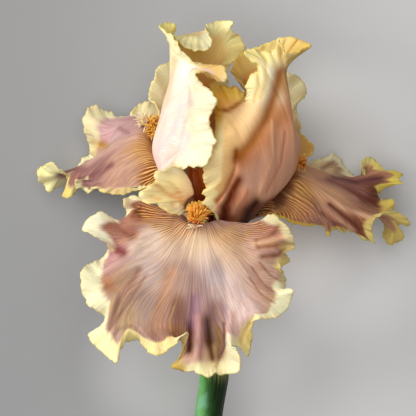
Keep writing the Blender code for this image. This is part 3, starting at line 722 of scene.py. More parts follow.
fall_finish = petal_finish("fall_skin", vein=(1.3, 1.32, 1.22), dusk=(0.56, 0.42, 0.46),
                           gold=paint(216, 170, 112), stripe=paint(246, 190, 104), brown=paint(126, 60, 10),
                           shares=(0.6, 0.34, 0.36), relief=0.18, depth=1.03)
add_petal(
    "fall_front", FALL_FRONT, (680, 62), fall_finish, vein_count=56, seed=21,
    # Tones: the petal's own lilac, tan and cream, with painted shade in the dark dabs round its furrows and
    # folds and painted light in the palest ones.
    tones=[
        (188, 156, 144), (-35, 8, 30, 4, (166, 118, 96)), (-23, 4, 33, 6, (220, 198, 180)),
        (-13, 2, 37, 6, (206, 180, 160)), (-4, 4, 38, 5, (240, 214, 176)), (8, 4, 36, 6, (228, 188, 144)),
        (20, 2, 34, 6, (210, 168, 148)), (-14, 7, 34, 4, (230, 196, 156)), (1, -1, 40, 5, (232, 208, 190)),
        (11, -3, 38, 6, (222, 190, 164)), (-23, -7, 38, 6, (196, 176, 166)),
        (-11, -8, 41, 5, (156, 130, 118)), (-4, -13, 42, 4, (158, 130, 124)),
        (4, -9, 42, 5, (206, 190, 190)), (11, -15, 42, 6, (240, 214, 206)),
        (20, -13, 40, 5, (204, 162, 138)), (-32, -12, 37, 5, (176, 144, 114)),
        (-27, -19, 40, 5, (150, 126, 114)), (-20, -22, 42, 5, (160, 136, 128)),
        (-12, -22, 43, 4, (126, 84, 60)), (-7, -25, 43, 4, (136, 98, 88)),
        (-3, -21, 43, 4, (176, 146, 148)), (2, -24, 43, 4, (138, 96, 86)), (7, -24, 43, 3, (188, 158, 164)),
        (13, -23, 42, 5, (236, 208, 200)), (-32, -24, 40, 5, (168, 142, 104)),
        (-18, -30, 42, 4, (166, 120, 96)), (-12, -31, 43, 3, (140, 96, 56)),
        (-3, -31, 44, 3, (140, 92, 82)), (7, -34, 44, 3, (138, 96, 82)), (12, -30, 43, 4, (240, 204, 190)),
        (-3, -41, 44, 5, (232, 192, 164)), (8, -40.5, 43, 3, (236, 210, 158)),
        (-38, -13, 35, 3, (164, 106, 58)), (-31, 9, 31, 4, (164, 110, 92)),
        (-36, 1, 29, 4, (206, 148, 152)), (-38, -4, 32, 4, (206, 162, 158)), (28, 8, 30, 5, (170, 112, 92)),
        (27, -9, 36, 5, (212, 176, 156)), (-26, 16, 27, 5, (172, 112, 76)),
        (26, -20, 39, 4, (220, 184, 152)), (4, -43, 44, 4, (228, 204, 152))],
    # Rims: the cream margin, painted darker and greener gold where it lies in shade, as painted shade.
    rims=[
        (250, 240, 202), (-46, -15, 33, 9, (246, 238, 200)), (-46, 12, 31, 8, (246, 240, 214)),
        (-42, -38, 38, 6, (244, 234, 182)), (-28, -36, 38, 7, (250, 226, 156)),
        (-18, -39, 42, 5, (250, 220, 150)), (-11, -38, 44, 4, (238, 190, 100)),
        (-12, -45, 38, 3, (222, 180, 70)), (18, -33, 40, 5, (240, 212, 126)),
        (31, -6, 30, 5, (216, 196, 124)), (32, 8, 28, 6, (200, 192, 150)), (-34, 1, 26, 3, (150, 96, 30)),
        (34, -16, 38, 5, (252, 244, 204)), (30, 0, 31, 4, (186, 160, 86)),
        (0, -46, 44, 5, (252, 236, 184))],
    bands=[
        (4.0, 0.35), (-46, -15, 33, 7, (9.0, 0.25)), (-48, 12, 31, 7, (8.0, 0.3)),
        (-42, -36, 38, 7, (9.0, 0.12)), (-30, -34, 38, 5, (9.0, 0.06)), (-20, -38, 42, 5, (6.0, 0.06)),
        (-11, -40, 46, 4, (8.0, 0.1)), (0, -46, 44, 7, (6.0, 0.45)), (15.5, -36, 41, 5, (10.0, 0.1)),
        (-31, -31, 40, 3.5, (9.0, 0.1)), (-12, -36, 44, 2.5, (9.0, 0.1)), (21, -27, 43, 4, (2.0, 0.2)),
        (11, -41, 44, 5, (10.0, 0.2)), (34, -18, 36, 7, (8.5, 0.15)), (33, 0, 31, 7, (5.0, 0.4)),
        (-34, 20, 22, 5, (4.0, 0.3))],
    hafts=[
        (-9, 11, 30, 6, 0.6), (-16, 13, 28, 5, 0.7), (-22, 17, 25, 4, 0.7), (6, 9, 33, 5, 0.45),
        (13, 10, 31, 5, 0.55), (20, 11, 28, 4, 0.6), (-3, 5, 37, 4, 0.2)],
    # Folds: pressed in, with painted shade in the valleys and a painted highlight on the ridges (negative
    # depth).
    folds=[
        (2.4, 1.6, 30, (84, 22, 12), [(-6.2, -29), (-6.5, -34), (-7, -38.5)]),
        (0.9, 2.2, 30, (146, 110, 124), [(-5, -18), (-5.6, -28)]),
        (2.2, 2.2, 30, (44, 12, 0), [(-0.4, -27), (0.9, -35)]),
        (2.4, 1.5, 30, (108, 66, 22), [(0.8, -35), (2.2, -42)]),
        (0.4, 1.6, 30, (150, 116, 76), [(4.4, -30), (4.8, -36), (4.2, -41)]),
        (1.2, 0.7, 30, (122, 76, 82), [(6.8, -28), (7.4, -36), (3.6, -45)]),
        (-1.2, 2.0, 30, (190, 146, 142), [(-2.8, -26), (-2.6, -34), (-3.4, -41)]),
        (-0.7, 1.6, 30, (228, 190, 180), [(9.4, -24), (9.8, -34)]),
        (1.2, 1.0, 28, (160, 108, 76), [(20.5, 2.1), (28.5, 2.8), (34.5, 3.1)]),
        (1.4, 1.0, 28, (160, 110, 78), [(22, -1.7), (27.9, -1.2), (31, 1.1)]),
        (1.6, 1.2, 24, (148, 98, 76), [(20, 4.5), (25.9, 6.5), (29, 10.5)]),
        (-1.0, 1.2, 24, (226, 184, 150), [(19, 3.4), (26, 4.8), (32, 6)]),
        (0.5, 0.5, 28, (184, 136, 112), [(18, -6), (22.5, -12.5), (27.5, -16.4)]),
        (0.5, 0.5, 28, (186, 140, 118), [(17, -10), (21.5, -16.5), (27, -20)]),
        (0.4, 0.5, 28, (170, 120, 96), [(21, -4), (25, -9), (29, -11.5)]),
        (0.8, 0.8, 28, (200, 168, 120), [(18.4, -25.5), (14.6, -31.5), (13.4, -35)]),
        (3.0, 2.0, 22, (130, 66, 60), [(-42, 3), (-33, 0)]),
        (1.6, 2.0, 20, (166, 114, 94), [(-39, 10.3), (-29, 7)]),
        (1.4, 1.8, 18, (130, 78, 50), [(-31, 19), (-26, 15)]),
        (1.4, 2.4, 28, None, [(-42, -11), (-35, -14.5)]),
        (0.6, 1.6, 30, (158, 122, 104), [(-26.8, -7), (-30.8, -14), (-35.8, -22), (-38, -28)]),
        (0.5, 0.7, 30, (158, 120, 102), [(-24, -9), (-30, -19), (-38, -30)]),
        (0.9, 3.0, 30, (190, 150, 122), [(-14, -8), (-20, -28)]), (0.8, 2.4, 30, None, [(6, -4), (9, -26)]),
        (-1.2, 1.0, 28, None, [(-40, -31.5), (-38.5, -33.9), (-35.5, -29.5), (-32.5, -28.2),
            (-29.5, -27.9), (-26.8, -29.5), (-23.5, -33.2), (-20.1, -36.5), (-16.1, -38.2)])])
add_petal(
    "fall_left", FALL_LEFT, (560, 52), fall_finish, vein_count=66, seed=31,
    tones=[
        (178, 146, 136), (-33, 33, 2, 6, (196, 162, 142)), (-46, 32, -8, 7, (140, 100, 96)),
        (-17, 26, 4, 5, (116, 62, 4)), (-23, 31, 4, 4.5, (150, 98, 30)), (-26, 40, 1, 5.5, (190, 144, 84)),
        (-38, 46, -20, 9, (204, 166, 168)), (-56, 30, -20, 7, (150, 104, 92)),
        (-36, 32, 1, 6, (186, 142, 122)), (-27, 48, -16, 6, (170, 130, 130))],
    rims=[
        (236, 228, 184), (-58, 24, -18, 4, (222, 196, 96)), (-42, 40, -24, 4, (208, 168, 74)),
        (-38, 25, 2, 8, (220, 194, 134)), (-66, 32, -25, 6, (250, 240, 184)),
        (-48, 52, -26, 8, (226, 218, 180)), (-22, 60, -29, 7, (220, 208, 166))],
    bands=[
        (3.0, 0.35), (-66, 32, -25, 8, (9.0, 0.25)), (-58, 24, -18, 5, (5.0, 0.3)),
        (-45, 24, -3, 5, (3.0, 0.4)), (-36, 24, 3, 6, (4.5, 0.7)), (-27, 25, 5, 5, (1.6, 0.4)),
        (-48, 52, -27, 7, (8.0, 0.35)), (-22, 60, -28, 8, (7.0, 0.35)), (-57, 30, -40, 7, (6.0, 0.3))],
    hafts=[
        (-16, 27, 4, 6, 1.0), (-22, 31, 4, 5, 0.8), (-25, 39, 1, 5, 0.4), (-18, 42, -4, 6, 0.7),
        (-31, 33, 3, 5, 0.0), (-38, 36, 0, 7, 0.0)],
    # Folds: painted shade in the valleys and pocket, and a painted highlight on the ridge (negative depth).
    folds=[
        (-1.0, 1.6, -30, (196, 160, 146), [(-28.3, 46), (-35.8, 43.6), (-42.8, 39.6), (-49.3, 35)]),
        (1.2, 1.4, -30, (136, 92, 92), [(-51, 28.5), (-44, 31.5), (-38.3, 34.8)]),
        (0.8, 1.6, -30, (146, 102, 98), [(-56, 31.5), (-49, 33.2)]),
        (1.2, 1.8, -34, (176, 132, 58), [(-45.5, 44), (-41, 42.6)]),
        (0.5, 0.8, -34, (150, 110, 108), [(-35, 49.6), (-31.5, 47.6)])])
add_petal(
    "fall_right", FALL_RIGHT, (560, 52), fall_finish, vein_count=60, seed=41,
    # Tones: the petal's own tan and mauve, with painted shade in the near-black dabs on the claw beside the
    # standard, where shade falls.
    tones=[
        (190, 144, 110), (27, 22, 8, 3, (110, 44, 6)), (34, 27, 4, 3, (150, 82, 22)),
        (38, 23, 6, 3.5, (232, 176, 100)), (22, 15.5, 8, 4, (56, 12, 0)), (29, 21, 9, 3.5, (60, 14, 0)),
        (32, 26, 8, 2.6, (84, 32, 6)), (35, 31.5, 4, 3, (110, 50, 14)), (40.5, 26, 4, 4, (240, 184, 116)),
        (47, 35, -22, 5, (232, 208, 160)), (38, 19, 8, 6, (184, 130, 84)), (50, 24, -2, 8, (226, 178, 138)),
        (44, 15, 7, 5, (170, 124, 112)), (60, 26, -14, 7, (142, 94, 92)), (60, 11, -6, 5, (120, 66, 44)),
        (46, 30, -8, 7, (184, 136, 106)), (68, 24, -21, 4, (96, 46, 32)), (54, 12, 0, 5, (180, 124, 104))],
    rims=[
        (226, 214, 150), (76, 8, -20, 10, (222, 198, 110)), (36, 12, 8, 14, (206, 170, 50)),
        (76, 27, -24, 8, (226, 204, 92)), (62, 6, -8, 8, (216, 196, 120)),
        (54, 36, -34, 7, (250, 240, 204))],
    bands=[
        (3.0, 0.35), (36, 12, 8, 12, (1.2, 0.3)), (74, 10, -18, 8, (8.0, 0.3)),
        (76, 26, -24, 7, (5.0, 0.3)), (52, 36, -36, 8, (9.0, 0.35)), (46, 34, -18, 6, (8.0, 0.5)),
        (62, 5, -8, 6, (4.0, 0.3))],
    # The negative hafts take the stripes off the claw where the painted shade lies on it.
    hafts=[
        (22, 17, 8, 7, 0.9), (28, 18, 9, 6, 0.65), (31, 25, 5, 6, 0.6), (38, 22, 6, 7, 0.45),
        (22, 20, -10, 8, 1.0), (21, 14.5, 8, 3, -0.4), (28.5, 20, 9, 2.6, -1.4), (32, 25.5, 8.5, 2.4, -1.0),
        (34, 31, 5, 2.4, -0.6)],
    # Folds: painted shade in the valleys and a painted highlight on the ridges (negative depth).
    folds=[
        (-1.2, 1.2, -32, (214, 170, 138), [(43.7, 24.5), (51.7, 18.8), (58.6, 16.3), (66, 13.6)]),
        (1.2, 1.2, -32, (112, 62, 48), [(49, 19), (56.3, 13.4), (62, 8.6)]),
        (-0.8, 0.9, -32, (200, 154, 128), [(47, 18.4), (53, 13), (58.6, 8.4)]),
        (0.9, 1.0, -32, (146, 92, 78), [(46, 15.6), (51, 11.4), (54.5, 8.8)]),
        (1.2, 1.2, -32, (126, 74, 66), [(48, 28.6), (56, 25.2), (63, 21.6), (69, 18.4)]),
        (-0.8, 1.0, -32, (180, 134, 116), [(44, 29), (53, 25.4), (60, 21)]),
        (1.0, 1.2, -32, (116, 76, 78), [(50, 29.8), (60, 28), (70, 29.4)]),
        (0.8, 1.2, -36, (160, 130, 100), [(46.5, 33.4), (52.4, 36.8)]),
        (0.8, 1.2, -36, (170, 144, 110), [(52, 31.6), (56, 34)])], vein_gap=1.55)

# The beards: a dense strip of fleshy hairs that grow down the middle of each fall, from the throat out.
# They are golden orange with paler tips. On the front and the left fall they turn to cream where the
# strip runs out on the blade.
BEARD_RINGS = 26
BEARD_SIDES = 14
HAIR_RADIUS = 0.27
HAIR_LEAN = 0.45
FULL_TURN = 6.28
CM2_PER_M2 = 10000.0


def hair_tree(name):
    """Geometry nodes that plant bent, tapered hairs over a bed and make one plain mesh of them."""
    tree = bpy.data.node_groups.new(name, "GeometryNodeTree")
    for label, kind, value in (("Bed", "NodeSocketGeometry", None),
                               ("Hairs per cm2", "NodeSocketFloat", 1200.0),
                               ("Hair length", "NodeSocketFloat", 2.8 * MM),
                               ("Hair radius", "NodeSocketFloat", 0.2 * MM),
                               ("Lean", "NodeSocketFloat", 0.5),
                               ("Seed", "NodeSocketInt", 1),
                               ("Finish", "NodeSocketMaterial", None)):
        socket = tree.interface.new_socket(label, in_out="INPUT", socket_type=kind)
        if value is not None:
            socket.default_value = value
    tree.interface.new_socket("Hairs", in_out="OUTPUT", socket_type="NodeSocketGeometry")
    given = {socket.name: Wire(socket) for socket in tree.nodes.new("NodeGroupInput").outputs}

    def part(kind, values=None, output=0, **settings):
        return add_node(tree, kind, values, output, **settings)

    tip = part("ShaderNodeCombineXYZ", {"X": 0.25, "Z": 1.0})
    line = part("GeometryNodeCurveQuadraticBezier",
                {"Resolution": 5, "Start": (0, 0, -0.15), "Middle": (0, 0, 0.55), "End": tip})
    along = part("GeometryNodeSplineParameter", output="Factor")
    taper = along.into("ShaderNodeMapRange", {"From Min": 0.35, "From Max": 1.0, "To Min": 1.0,
                                              "To Max": 0.45})
    marked = line.into("GeometryNodeStoreNamedAttribute", {"Name": "tip", "Value": along},
                       data_type="FLOAT", domain="POINT")
    circle = part("GeometryNodeCurvePrimitiveCircle",
                  {"Resolution": 5, "Radius": given["Hair radius"] / given["Hair length"]}, mode="RADIUS")
    hair = marked.into("GeometryNodeCurveToMesh", {"Profile Curve": circle, "Scale": taper,
                                                   "Fill Caps": True})

    spots = given["Bed"].into("GeometryNodeDistributePointsOnFaces",
                              {"Density": given["Hairs per cm2"] * CM2_PER_M2, "Seed": given["Seed"]})
    sizes = part("FunctionNodeRandomValue", {2: 0.7, 3: 1.25}, 1, data_type="FLOAT")
    planted = spots.into("GeometryNodeInstanceOnPoints",
                         {"Instance": hair, "Rotation": Wire(spots.socket.node.outputs["Rotation"]),
                          "Scale": sizes * given["Hair length"]})
    back = given["Lean"] * -1.0
    low = part("ShaderNodeCombineXYZ", {"X": back, "Y": back, "Z": 0.0})
    high = part("ShaderNodeCombineXYZ", {"X": given["Lean"], "Y": given["Lean"], "Z": FULL_TURN})
    lean = part("FunctionNodeRandomValue", {0: low, 1: high, "Seed": given["Seed"]},
                data_type="FLOAT_VECTOR")
    turned = planted.into("GeometryNodeRotateInstances", {"Rotation": lean, "Local Space": True})
    shade = part("FunctionNodeRandomValue", output=1, data_type="FLOAT")
    shaded = turned.into("GeometryNodeStoreNamedAttribute", {"Name": "shade", "Value": shade},
                         data_type="FLOAT", domain="INSTANCE")
    real = shaded.into("GeometryNodeRealizeInstances", {})
    coated = real.into("GeometryNodeSetMaterial", {"Material": given["Finish"]})
    tree.links.new(coated.socket, tree.nodes.new("NodeGroupOutput").inputs["Hairs"])
    return tree


beard_finish = Finish("beard_hair", 0.45, 0.4, (0.2, (1.0, 0.5, 0.2), 0.0006))
beard_tip = beard_finish.mark("tip")
beard_shade = beard_finish.mark("shade")
# Painted highlight: the light mark turns roots and tips a paler gold on a beard that the lamp falls on.
beard_painted_highlight = beard_finish.mark("light")
beard_root = beard_shade.blend(paint(170, 36, 0), paint(216, 84, 0))
beard_root = beard_painted_highlight.blend(beard_root, paint(206, 124, 10))
beard_top = beard_shade.blend(paint(240, 104, 4), paint(255, 206, 84))
beard_top = beard_painted_highlight.blend(beard_top, paint(255, 216, 110))
beard_warm = beard_tip.rise(0.2, 0.95).blend(beard_root, beard_top)
beard_pale = beard_tip.rise(0.2, 0.9).blend(paint(214, 180, 150), paint(250, 234, 196))
beard_finish.coat(beard_finish.mark("run").rise(0.86, 0.97).blend(beard_warm, beard_pale))
planter = hair_tree("beard_planter")


def smooth_line(points, count):
    """Evenly spaced points along a smooth line through a few given ones."""
    points = np.array(points, float)
    return through(run_along(points), points, np.linspace(0, 1, count))


def ways_along(line, outward):
    """The ways ahead, to the side and up at each point of a line, with up turned outward."""
    ahead = unit(np.gradient(line, axis=0))
    side = unit(np.cross(ahead, np.array(outward, float)))
    return ahead, side, np.cross(side, ahead)


def add_beard(side_name, ridge, outward, widths, seed, per_cm2, hair_length, fade, light):
    """Low rounded bed along the ridge of a fall, planted with hairs, as one plain mesh.

    A fade above 1 brings the pale end of the strip nearer, and one below 1 keeps it off; light makes the
    gold paler, a painted highlight for a beard that the lamp falls on.
    """
    t = np.linspace(0, 1, BEARD_RINGS)
    line = smooth_line(ridge, BEARD_RINGS)
    _, side, up = ways_along(line, outward)
    width = np.interp(t, [0, 0.2, 0.75, 1.0], widths)[:, None]
    turn = np.linspace(0.05 * np.pi, 0.95 * np.pi, BEARD_SIDES)
    bed = (line[:, None] + (width * np.cos(turn))[..., None] * side[:, None]
           + (0.8 * width * np.sin(turn))[..., None] * up[:, None])
    made = put_together("beard_hairs_" + side_name, bed, beard_finish,
                        {"run": (t * fade)[:, None], "light": light})
    if (made.data.polygons[len(made.data.polygons) // 2].normal @ Vector(outward)) < 0:
        made.data.flip_normals()
    plant = made.modifiers.new("hairs", "NODES")
    plant.node_group = planter
    wanted = {"Hairs per cm2": per_cm2, "Hair length": hair_length * MM, "Hair radius": HAIR_RADIUS * MM,
              "Lean": HAIR_LEAN, "Seed": seed, "Finish": beard_finish.material}
    for item in planter.interface.items_tree:
        if item.in_out == "INPUT" and item.name in wanted:
            plant[item.identifier] = wanted[item.name]
    seen = made.evaluated_get(bpy.context.evaluated_depsgraph_get())
    hairs = bpy.data.meshes.new_from_object(seen)
    made.modifiers.remove(plant)
    made.data = hairs
    made.data.shade_smooth()
    hand_over(made, "beard_" + side_name)


add_beard("front", [(-3.0, 14.5, 20), (-3.4, 15.6, 25), (-3.9, 14.0, 31), (-4.4, 9.6, 35.2)],
          outward=(0.0, 0.85, 0.52), widths=[2.8, 2.8, 1.5, 0.3], seed=5, per_cm2=460.0,
          hair_length=2.6, fade=1.0, light=0.2)
# Painted highlight: a light of 0.8 makes this beard paler gold where the lamp falls on it.
add_beard("left", [(-19.5, 46.6, -5.4), (-22, 51, -6.2), (-27, 52.2, -7.8)],
          outward=(-0.2, 0.45, 0.87), widths=[1.0, 1.8, 1.6, 0.6], seed=6, per_cm2=620.0,
          hair_length=2.9, fade=1.5, light=0.8)
# Painted shade: a fade below 1 keeps the pale end off this beard, so it stays dark gold in the shade.
add_beard("right", [(25, 29.3, -1), (32, 34.8, -1.8), (39.5, 35.4, -3.8)],
          outward=(0.1, 0.5, 0.86), widths=[1.0, 1.8, 1.6, 0.6], seed=7, per_cm2=620.0,
          hair_length=2.8, fade=0.8, light=0.2)

# The standards: the three inner petals, which spring from the tube between the falls and arch together
# over the heart. Their skin is smoother and paler than the falls', with faint veins, and their margins
# roll and crimp.
STANDARD_LEFT = [
    (0.0, [(-0.9, -0.4, 3.7), (-2.3, 0, 2.2), (-3, 0.6, 0.2)]),
    (0.18, [(-6, 11, 10.5), (-14, 21, 15), (-18, 31, 14), (-14, 26, 6), (-5, 14, 2.5)]),
    (0.35, [(-7.3, 14, 13.5), (-16, 26, 21), (-18, 37, 25), (-17, 48, 25), (-18, 56, 20), (-18, 56, 8),
        (-14, 53, -1), (-9, 40, -3), (-5, 18, 2)]),
    (0.6, [(-8, 15.3, 16), (-15, 23, 22), (-17, 30, 26), (-14, 37, 30), (-11, 44, 33), (-10, 54, 34),
        (-9, 64, 32), (-10, 70, 29), (-15, 78, 21), (-14, 80, 12), (-8, 78, 4), (-2, 73, -2), (1, 62, -7),
        (-1, 44, -9), (-5, 21, 0.5)]),
    (0.85, [(-8.3, 16, 18), (-9.2, 19.5, 23), (-6.4, 25.2, 27.5), (-8, 30.5, 29.5), (-10.5, 34.5, 31),
        (-6, 40, 34.5), (-4, 47, 34.5), (-4, 56, 35), (-5.5, 64, 33.5), (-7, 68.5, 32), (-5, 72.3, 30.5),
        (1, 71.3, 30.2), (-3, 73.2, 31), (-11, 79, 29.5), (-15.5, 85, 25), (-14, 86, 16), (-7.5, 86.5, 13),
        (-1, 88, 9), (4, 88, 3), (8, 85, 1), (9, 79.5, 0), (6, 74, -2.5), (6, 68, -5.5), (5, 58, -9),
        (3, 45, -10), (-4, 22, -0.5)]),
    (1.0, [(-8.5, 16, 20), (-11.6, 15, 27), (-16.8, 16.5, 30), (-20, 19.4, 31.5), (-22.6, 19.2, 32.5),
        (-26, 20.5, 32), (-27, 23.2, 33), (-23, 26.3, 34), (-20.6, 28.6, 34.5), (-20.8, 31.4, 34.5),
        (-16.6, 33, 35.5), (-12.8, 34.2, 37.5), (-9.6, 33.4, 36.5), (-5.5, 34, 38), (-1.2, 34, 38.5),
        (1, 36.5, 38), (2.5, 41, 36), (3.5, 44.5, 38), (2, 48, 35), (1, 52, 38), (2, 55.5, 35),
        (4, 59.5, 37), (2, 63.5, 35), (-1, 66, 33), (-4.5, 70.5, 34), (-1.5, 71.5, 31), (2, 69, 26),
        (7, 67.5, 30), (8, 71, 31), (6, 74, 30), (0, 74.3, 31), (-6, 76, 33), (-10, 80, 33),
        (-13.5, 85.5, 30), (-18.5, 89.5, 28), (-17, 91, 22), (-13, 91, 20), (-12.5, 88.5, 16),
        (-13.5, 87, 20), (-12, 84.5, 22), (-8, 81, 25), (-3, 80, 26), (0.5, 80.5, 24), (2, 84, 20),
        (0, 88, 14), (0.5, 91, 6), (6, 92.5, 2), (10.5, 92, 4), (9, 89, 6), (13, 86.5, 2), (15, 82, 0),
        (14, 78, -1), (10.5, 76, 0), (8.3, 73, -2), (8.5, 67, -5), (8.5, 60, -8), (7, 50, -11),
        (4, 40, -10), (0, 30, -6), (-3, 24, -2)]),
]
STANDARD_RIGHT = [
    (0.0, [(3.3, -0.4, 3.7), (4.7, 0, 2.2), (5.4, 0.6, 0.2)]),
    (0.18, [(6.2, 11, 10.5), (14, 14, 14.5), (21, 17, 11), (16, 18, 6), (8, 12.5, 3)]),
    (0.35, [(5.7, 13.5, 13.5), (14, 21, 23), (23, 24, 25.5), (30.5, 26, 19), (34, 33, 13.5), (30, 35, 7),
        (24, 34, 3), (17, 29, 1), (8.5, 17, 3.5)]),
    (0.6, [(5, 14.5, 17), (7, 21, 24), (9.5, 30, 27), (13, 39, 31), (17, 47, 33), (23, 52, 34),
        (29.5, 52, 32), (35, 46, 27), (36.5, 44.5, 18), (34, 46, 9), (29, 48, 2), (23, 47, -2),
        (17, 37, -3), (8.5, 19, 2.5)]),
    (0.85, [(4.4, 15.4, 20.5), (3, 18.8, 25.5), (4, 24, 27.5), (5, 32, 30), (6.5, 42, 32.5), (7.5, 50, 31),
        (8, 54, 27), (12, 57, 28), (17, 59.5, 32.5), (19, 66, 36), (21.5, 71.5, 35.5), (20.5, 75.5, 36),
        (24.5, 74, 35), (28, 73.5, 34), (31, 72, 31), (31.5, 72, 24), (28.5, 75, 17), (21.5, 76, 12),
        (15, 71, 7), (18, 60, 0.5), (17, 45, -4), (8.5, 21, 2)]),
    (1.0, [(3.5, 15.8, 22), (1, 17.4, 27), (-2, 19.6, 29), (-0.5, 21.4, 28), (-2, 23.2, 29.5),
        (-0.4, 25, 28), (-1, 27, 30), (-1.5, 30, 31), (-1.6, 33.6, 32), (-1, 36.8, 33), (1.2, 41, 31),
        (3, 48, 27), (3, 54, 22), (1, 60, 17), (0.5, 66.5, 14), (2.5, 68, 12), (6, 66, 17), (10, 66, 19),
        (14.5, 63, 21), (12.5, 60, 24), (14, 60, 29), (15.5, 62, 33), (15.5, 66, 35), (17, 70, 35),
        (20, 72, 33), (20, 74.5, 33), (17, 76, 36), (14.5, 79, 37), (17, 80.5, 34), (21, 80, 33),
        (25, 79.5, 34), (27.5, 81, 35), (28.5, 84, 33), (30, 80.5, 36), (33, 78.5, 37), (36.5, 79.5, 34),
        (41, 82, 28), (38, 84, 22), (34, 85.5, 20), (30, 85.5, 18), (26, 84, 17), (22, 82.5, 15),
        (18, 81, 13), (13, 79, 10), (11, 76, 8), (9.5, 72, 6), (12, 69, 4), (15, 64, 2), (17, 57, -2),
        (15.5, 46, -4), (13, 36, -4.5), (10, 27, -1), (8.5, 22, 2)]),
]
STANDARD_BACK = [
    (0.0, [(-0.8, 1.6, -3.4), (1.2, 1.8, -4.1), (3.2, 1.6, -3.4)]),
    (0.2, [(-4, 12, -7), (-3, 23, -14), (3, 26, -17), (9, 23, -15), (9, 12, -8)]),
    (0.5, [(-7.5, 24, -8.5), (-12, 37, -13), (-15, 48, -17), (-10, 55, -21), (2, 50, -24), (14, 51, -24),
        (24, 54, -22), (26, 44, -17), (17, 25, -12.5)]),
    (0.82, [(-11, 32, -10), (-15.5, 42, -12), (-17.5, 53, -13), (-18.5, 62, -14), (-14, 69, -17),
        (-4, 62, -22), (6, 59, -24.5), (16, 60.5, -24.5), (25, 65, -21), (33, 63, -17), (33, 53, -15),
        (35, 43, -13), (25, 31, -12.5)]),
    (1.0, [(-13, 38, -10), (-15, 44, -9), (-17, 51, -7), (-20, 58, -6), (-23, 62, -8), (-23, 66, -11),
        (-21, 70, -9), (-20.5, 73, -12), (-17.5, 75.5, -14), (-13, 76, -17), (-8, 72, -20), (-4, 67, -18),
        (1, 65, -22), (6, 63.5, -20), (12, 63.5, -23), (18, 67, -20), (24, 70, -18), (30, 72, -16),
        (34.5, 71.5, -12), (38, 69, -14), (40, 65.5, -11), (39.5, 62.5, -14), (36.5, 60, -10),
        (36, 56, -13), (37.5, 51, -9), (38, 47.5, -12), (42, 43.5, -9), (43, 40.5, -11), (41.5, 38.5, -10),
        (37, 38, -11), (30, 34.5, -12.5)]),
]

standard_finish = petal_finish("standard_skin", vein=(1.12, 1.1, 1.06), dusk=(0.7, 0.5, 0.4),
                               gold=paint(226, 166, 120), stripe=paint(112, 40, 14),
                               brown=paint(84, 22, 8), shares=(0.22, 0.07, 0.1), relief=0.05, depth=1.1)
add_petal(
    "standard_left", STANDARD_LEFT, (640, 60), standard_finish, vein_count=60, seed=51,
    # Tones: the petal's own pink and cream, with painted light in the pale gold dabs on the top frill and
    # the cup, which lie in shade, and painted shade in the dark dab at the throat.
    tones=[
        (236, 196, 160), (-14, 40, 29, 9, (240, 216, 208)), (-14, 60, 31, 10, (240, 222, 210)),
        (-18, 30, 22, 9, (242, 208, 204)), (-9, 46, 32, 6, (246, 234, 222)),
        (-12, 74, 30, 7, (252, 242, 236)), (6, 80, 2, 12, (252, 226, 160)),
        (-14, 82, 18, 8, (252, 224, 160)), (-7, 76, 10, 8, (255, 232, 164)),
        (-5, 79, 1, 5, (255, 222, 116)), (-8, 19, 21, 2.5, (110, 44, 10)), (0, 60, -6, 12, (226, 166, 92)),
        (-12, 24, 27, 7, (255, 222, 158)), (0, 75, 6, 8, (255, 206, 110)), (2, 64, -4, 6, (236, 180, 70))],
    # Rims: the cream margin; the near-white dab on the top frill is painted light where it lies in shade.
    rims=[
        (250, 242, 212), (-18, 24, 31, 6, (255, 232, 168)), (-8, 24, 29, 5, (255, 224, 158)),
        (6, 88, 4, 8, (252, 242, 186)), (2, 72, 29, 4, (240, 198, 110)), (12, 80, 0, 7, (244, 226, 150)),
        (-15, 90, 21, 5, (255, 240, 150)), (-6, 83, 24, 6, (255, 244, 194))],
    bands=[
        (4.0, 0.3), (-3, 42, 34, 9, (11.0, 0.15)), (0, 54, 36, 8, (11.0, 0.15)),
        (-20, 24, 31, 7, (16.0, 0.2)), (-10, 24, 30, 6, (14.0, 0.15)), (-14, 88, 24, 6, (9.0, 0.3)),
        (0, 70, 32, 7, (5.0, 0.3)), (8, 88, 3, 9, (8.0, 0.3)), (-5, 82, 25, 6, (15.0, 0.3))],
    hafts=[(-4, 6, 6, 6, 0.9), (-7, 12, 5, 5, 0.6)],
    # Folds: pressed in, with painted shade along the creases of the lower lobe and the top frill.
    folds=[
        (0.8, 2.5, 20, None, [(-14, 30), (-10, 52)]),
        (1.2, 2.0, 20, (238, 200, 160), [(-17, 60), (-13, 76)]),
        (0.5, 1.2, 20, (246, 210, 206), [(-19, 40), (-13, 48), (-10, 58)]),
        (0.5, 1.0, 20, (246, 212, 204), [(-18, 34), (-11, 40), (-8, 52)]),
        (2.0, 1.0, 24, (226, 170, 100), [(-20.5, 27.4), (-16.8, 24.4), (-12.8, 21.6), (-12.8, 18.6)]),
        (1.2, 0.8, 24, (216, 164, 96), [(-22, 22.4), (-19, 20.8), (-17, 24.4)]),
        (0.9, 0.7, 22, (226, 180, 112), [(-14.6, 28), (-11.4, 24.6), (-10, 19)]),
        (0.8, 0.6, 14, (228, 206, 134), [(-12.4, 81.6), (-9.6, 85.6)]),
        (0.8, 0.6, 14, (228, 206, 134), [(-9.2, 80.8), (-7.6, 86)]),
        (0.8, 0.6, 14, (228, 206, 134), [(-6, 80.4), (-5.2, 86.4)]),
        (0.8, 0.6, 14, (228, 206, 134), [(-3.2, 80.4), (-2.8, 86.4)])],
    nudges=[
        (-19, 68, 15, 9, (3.2, 0, 0)), (-21, 42, 18, 9, (-2.6, 0, 0)),
        (-5, 86.5, 16, 4.5, (0, 0, 5))], crimp=0.6)
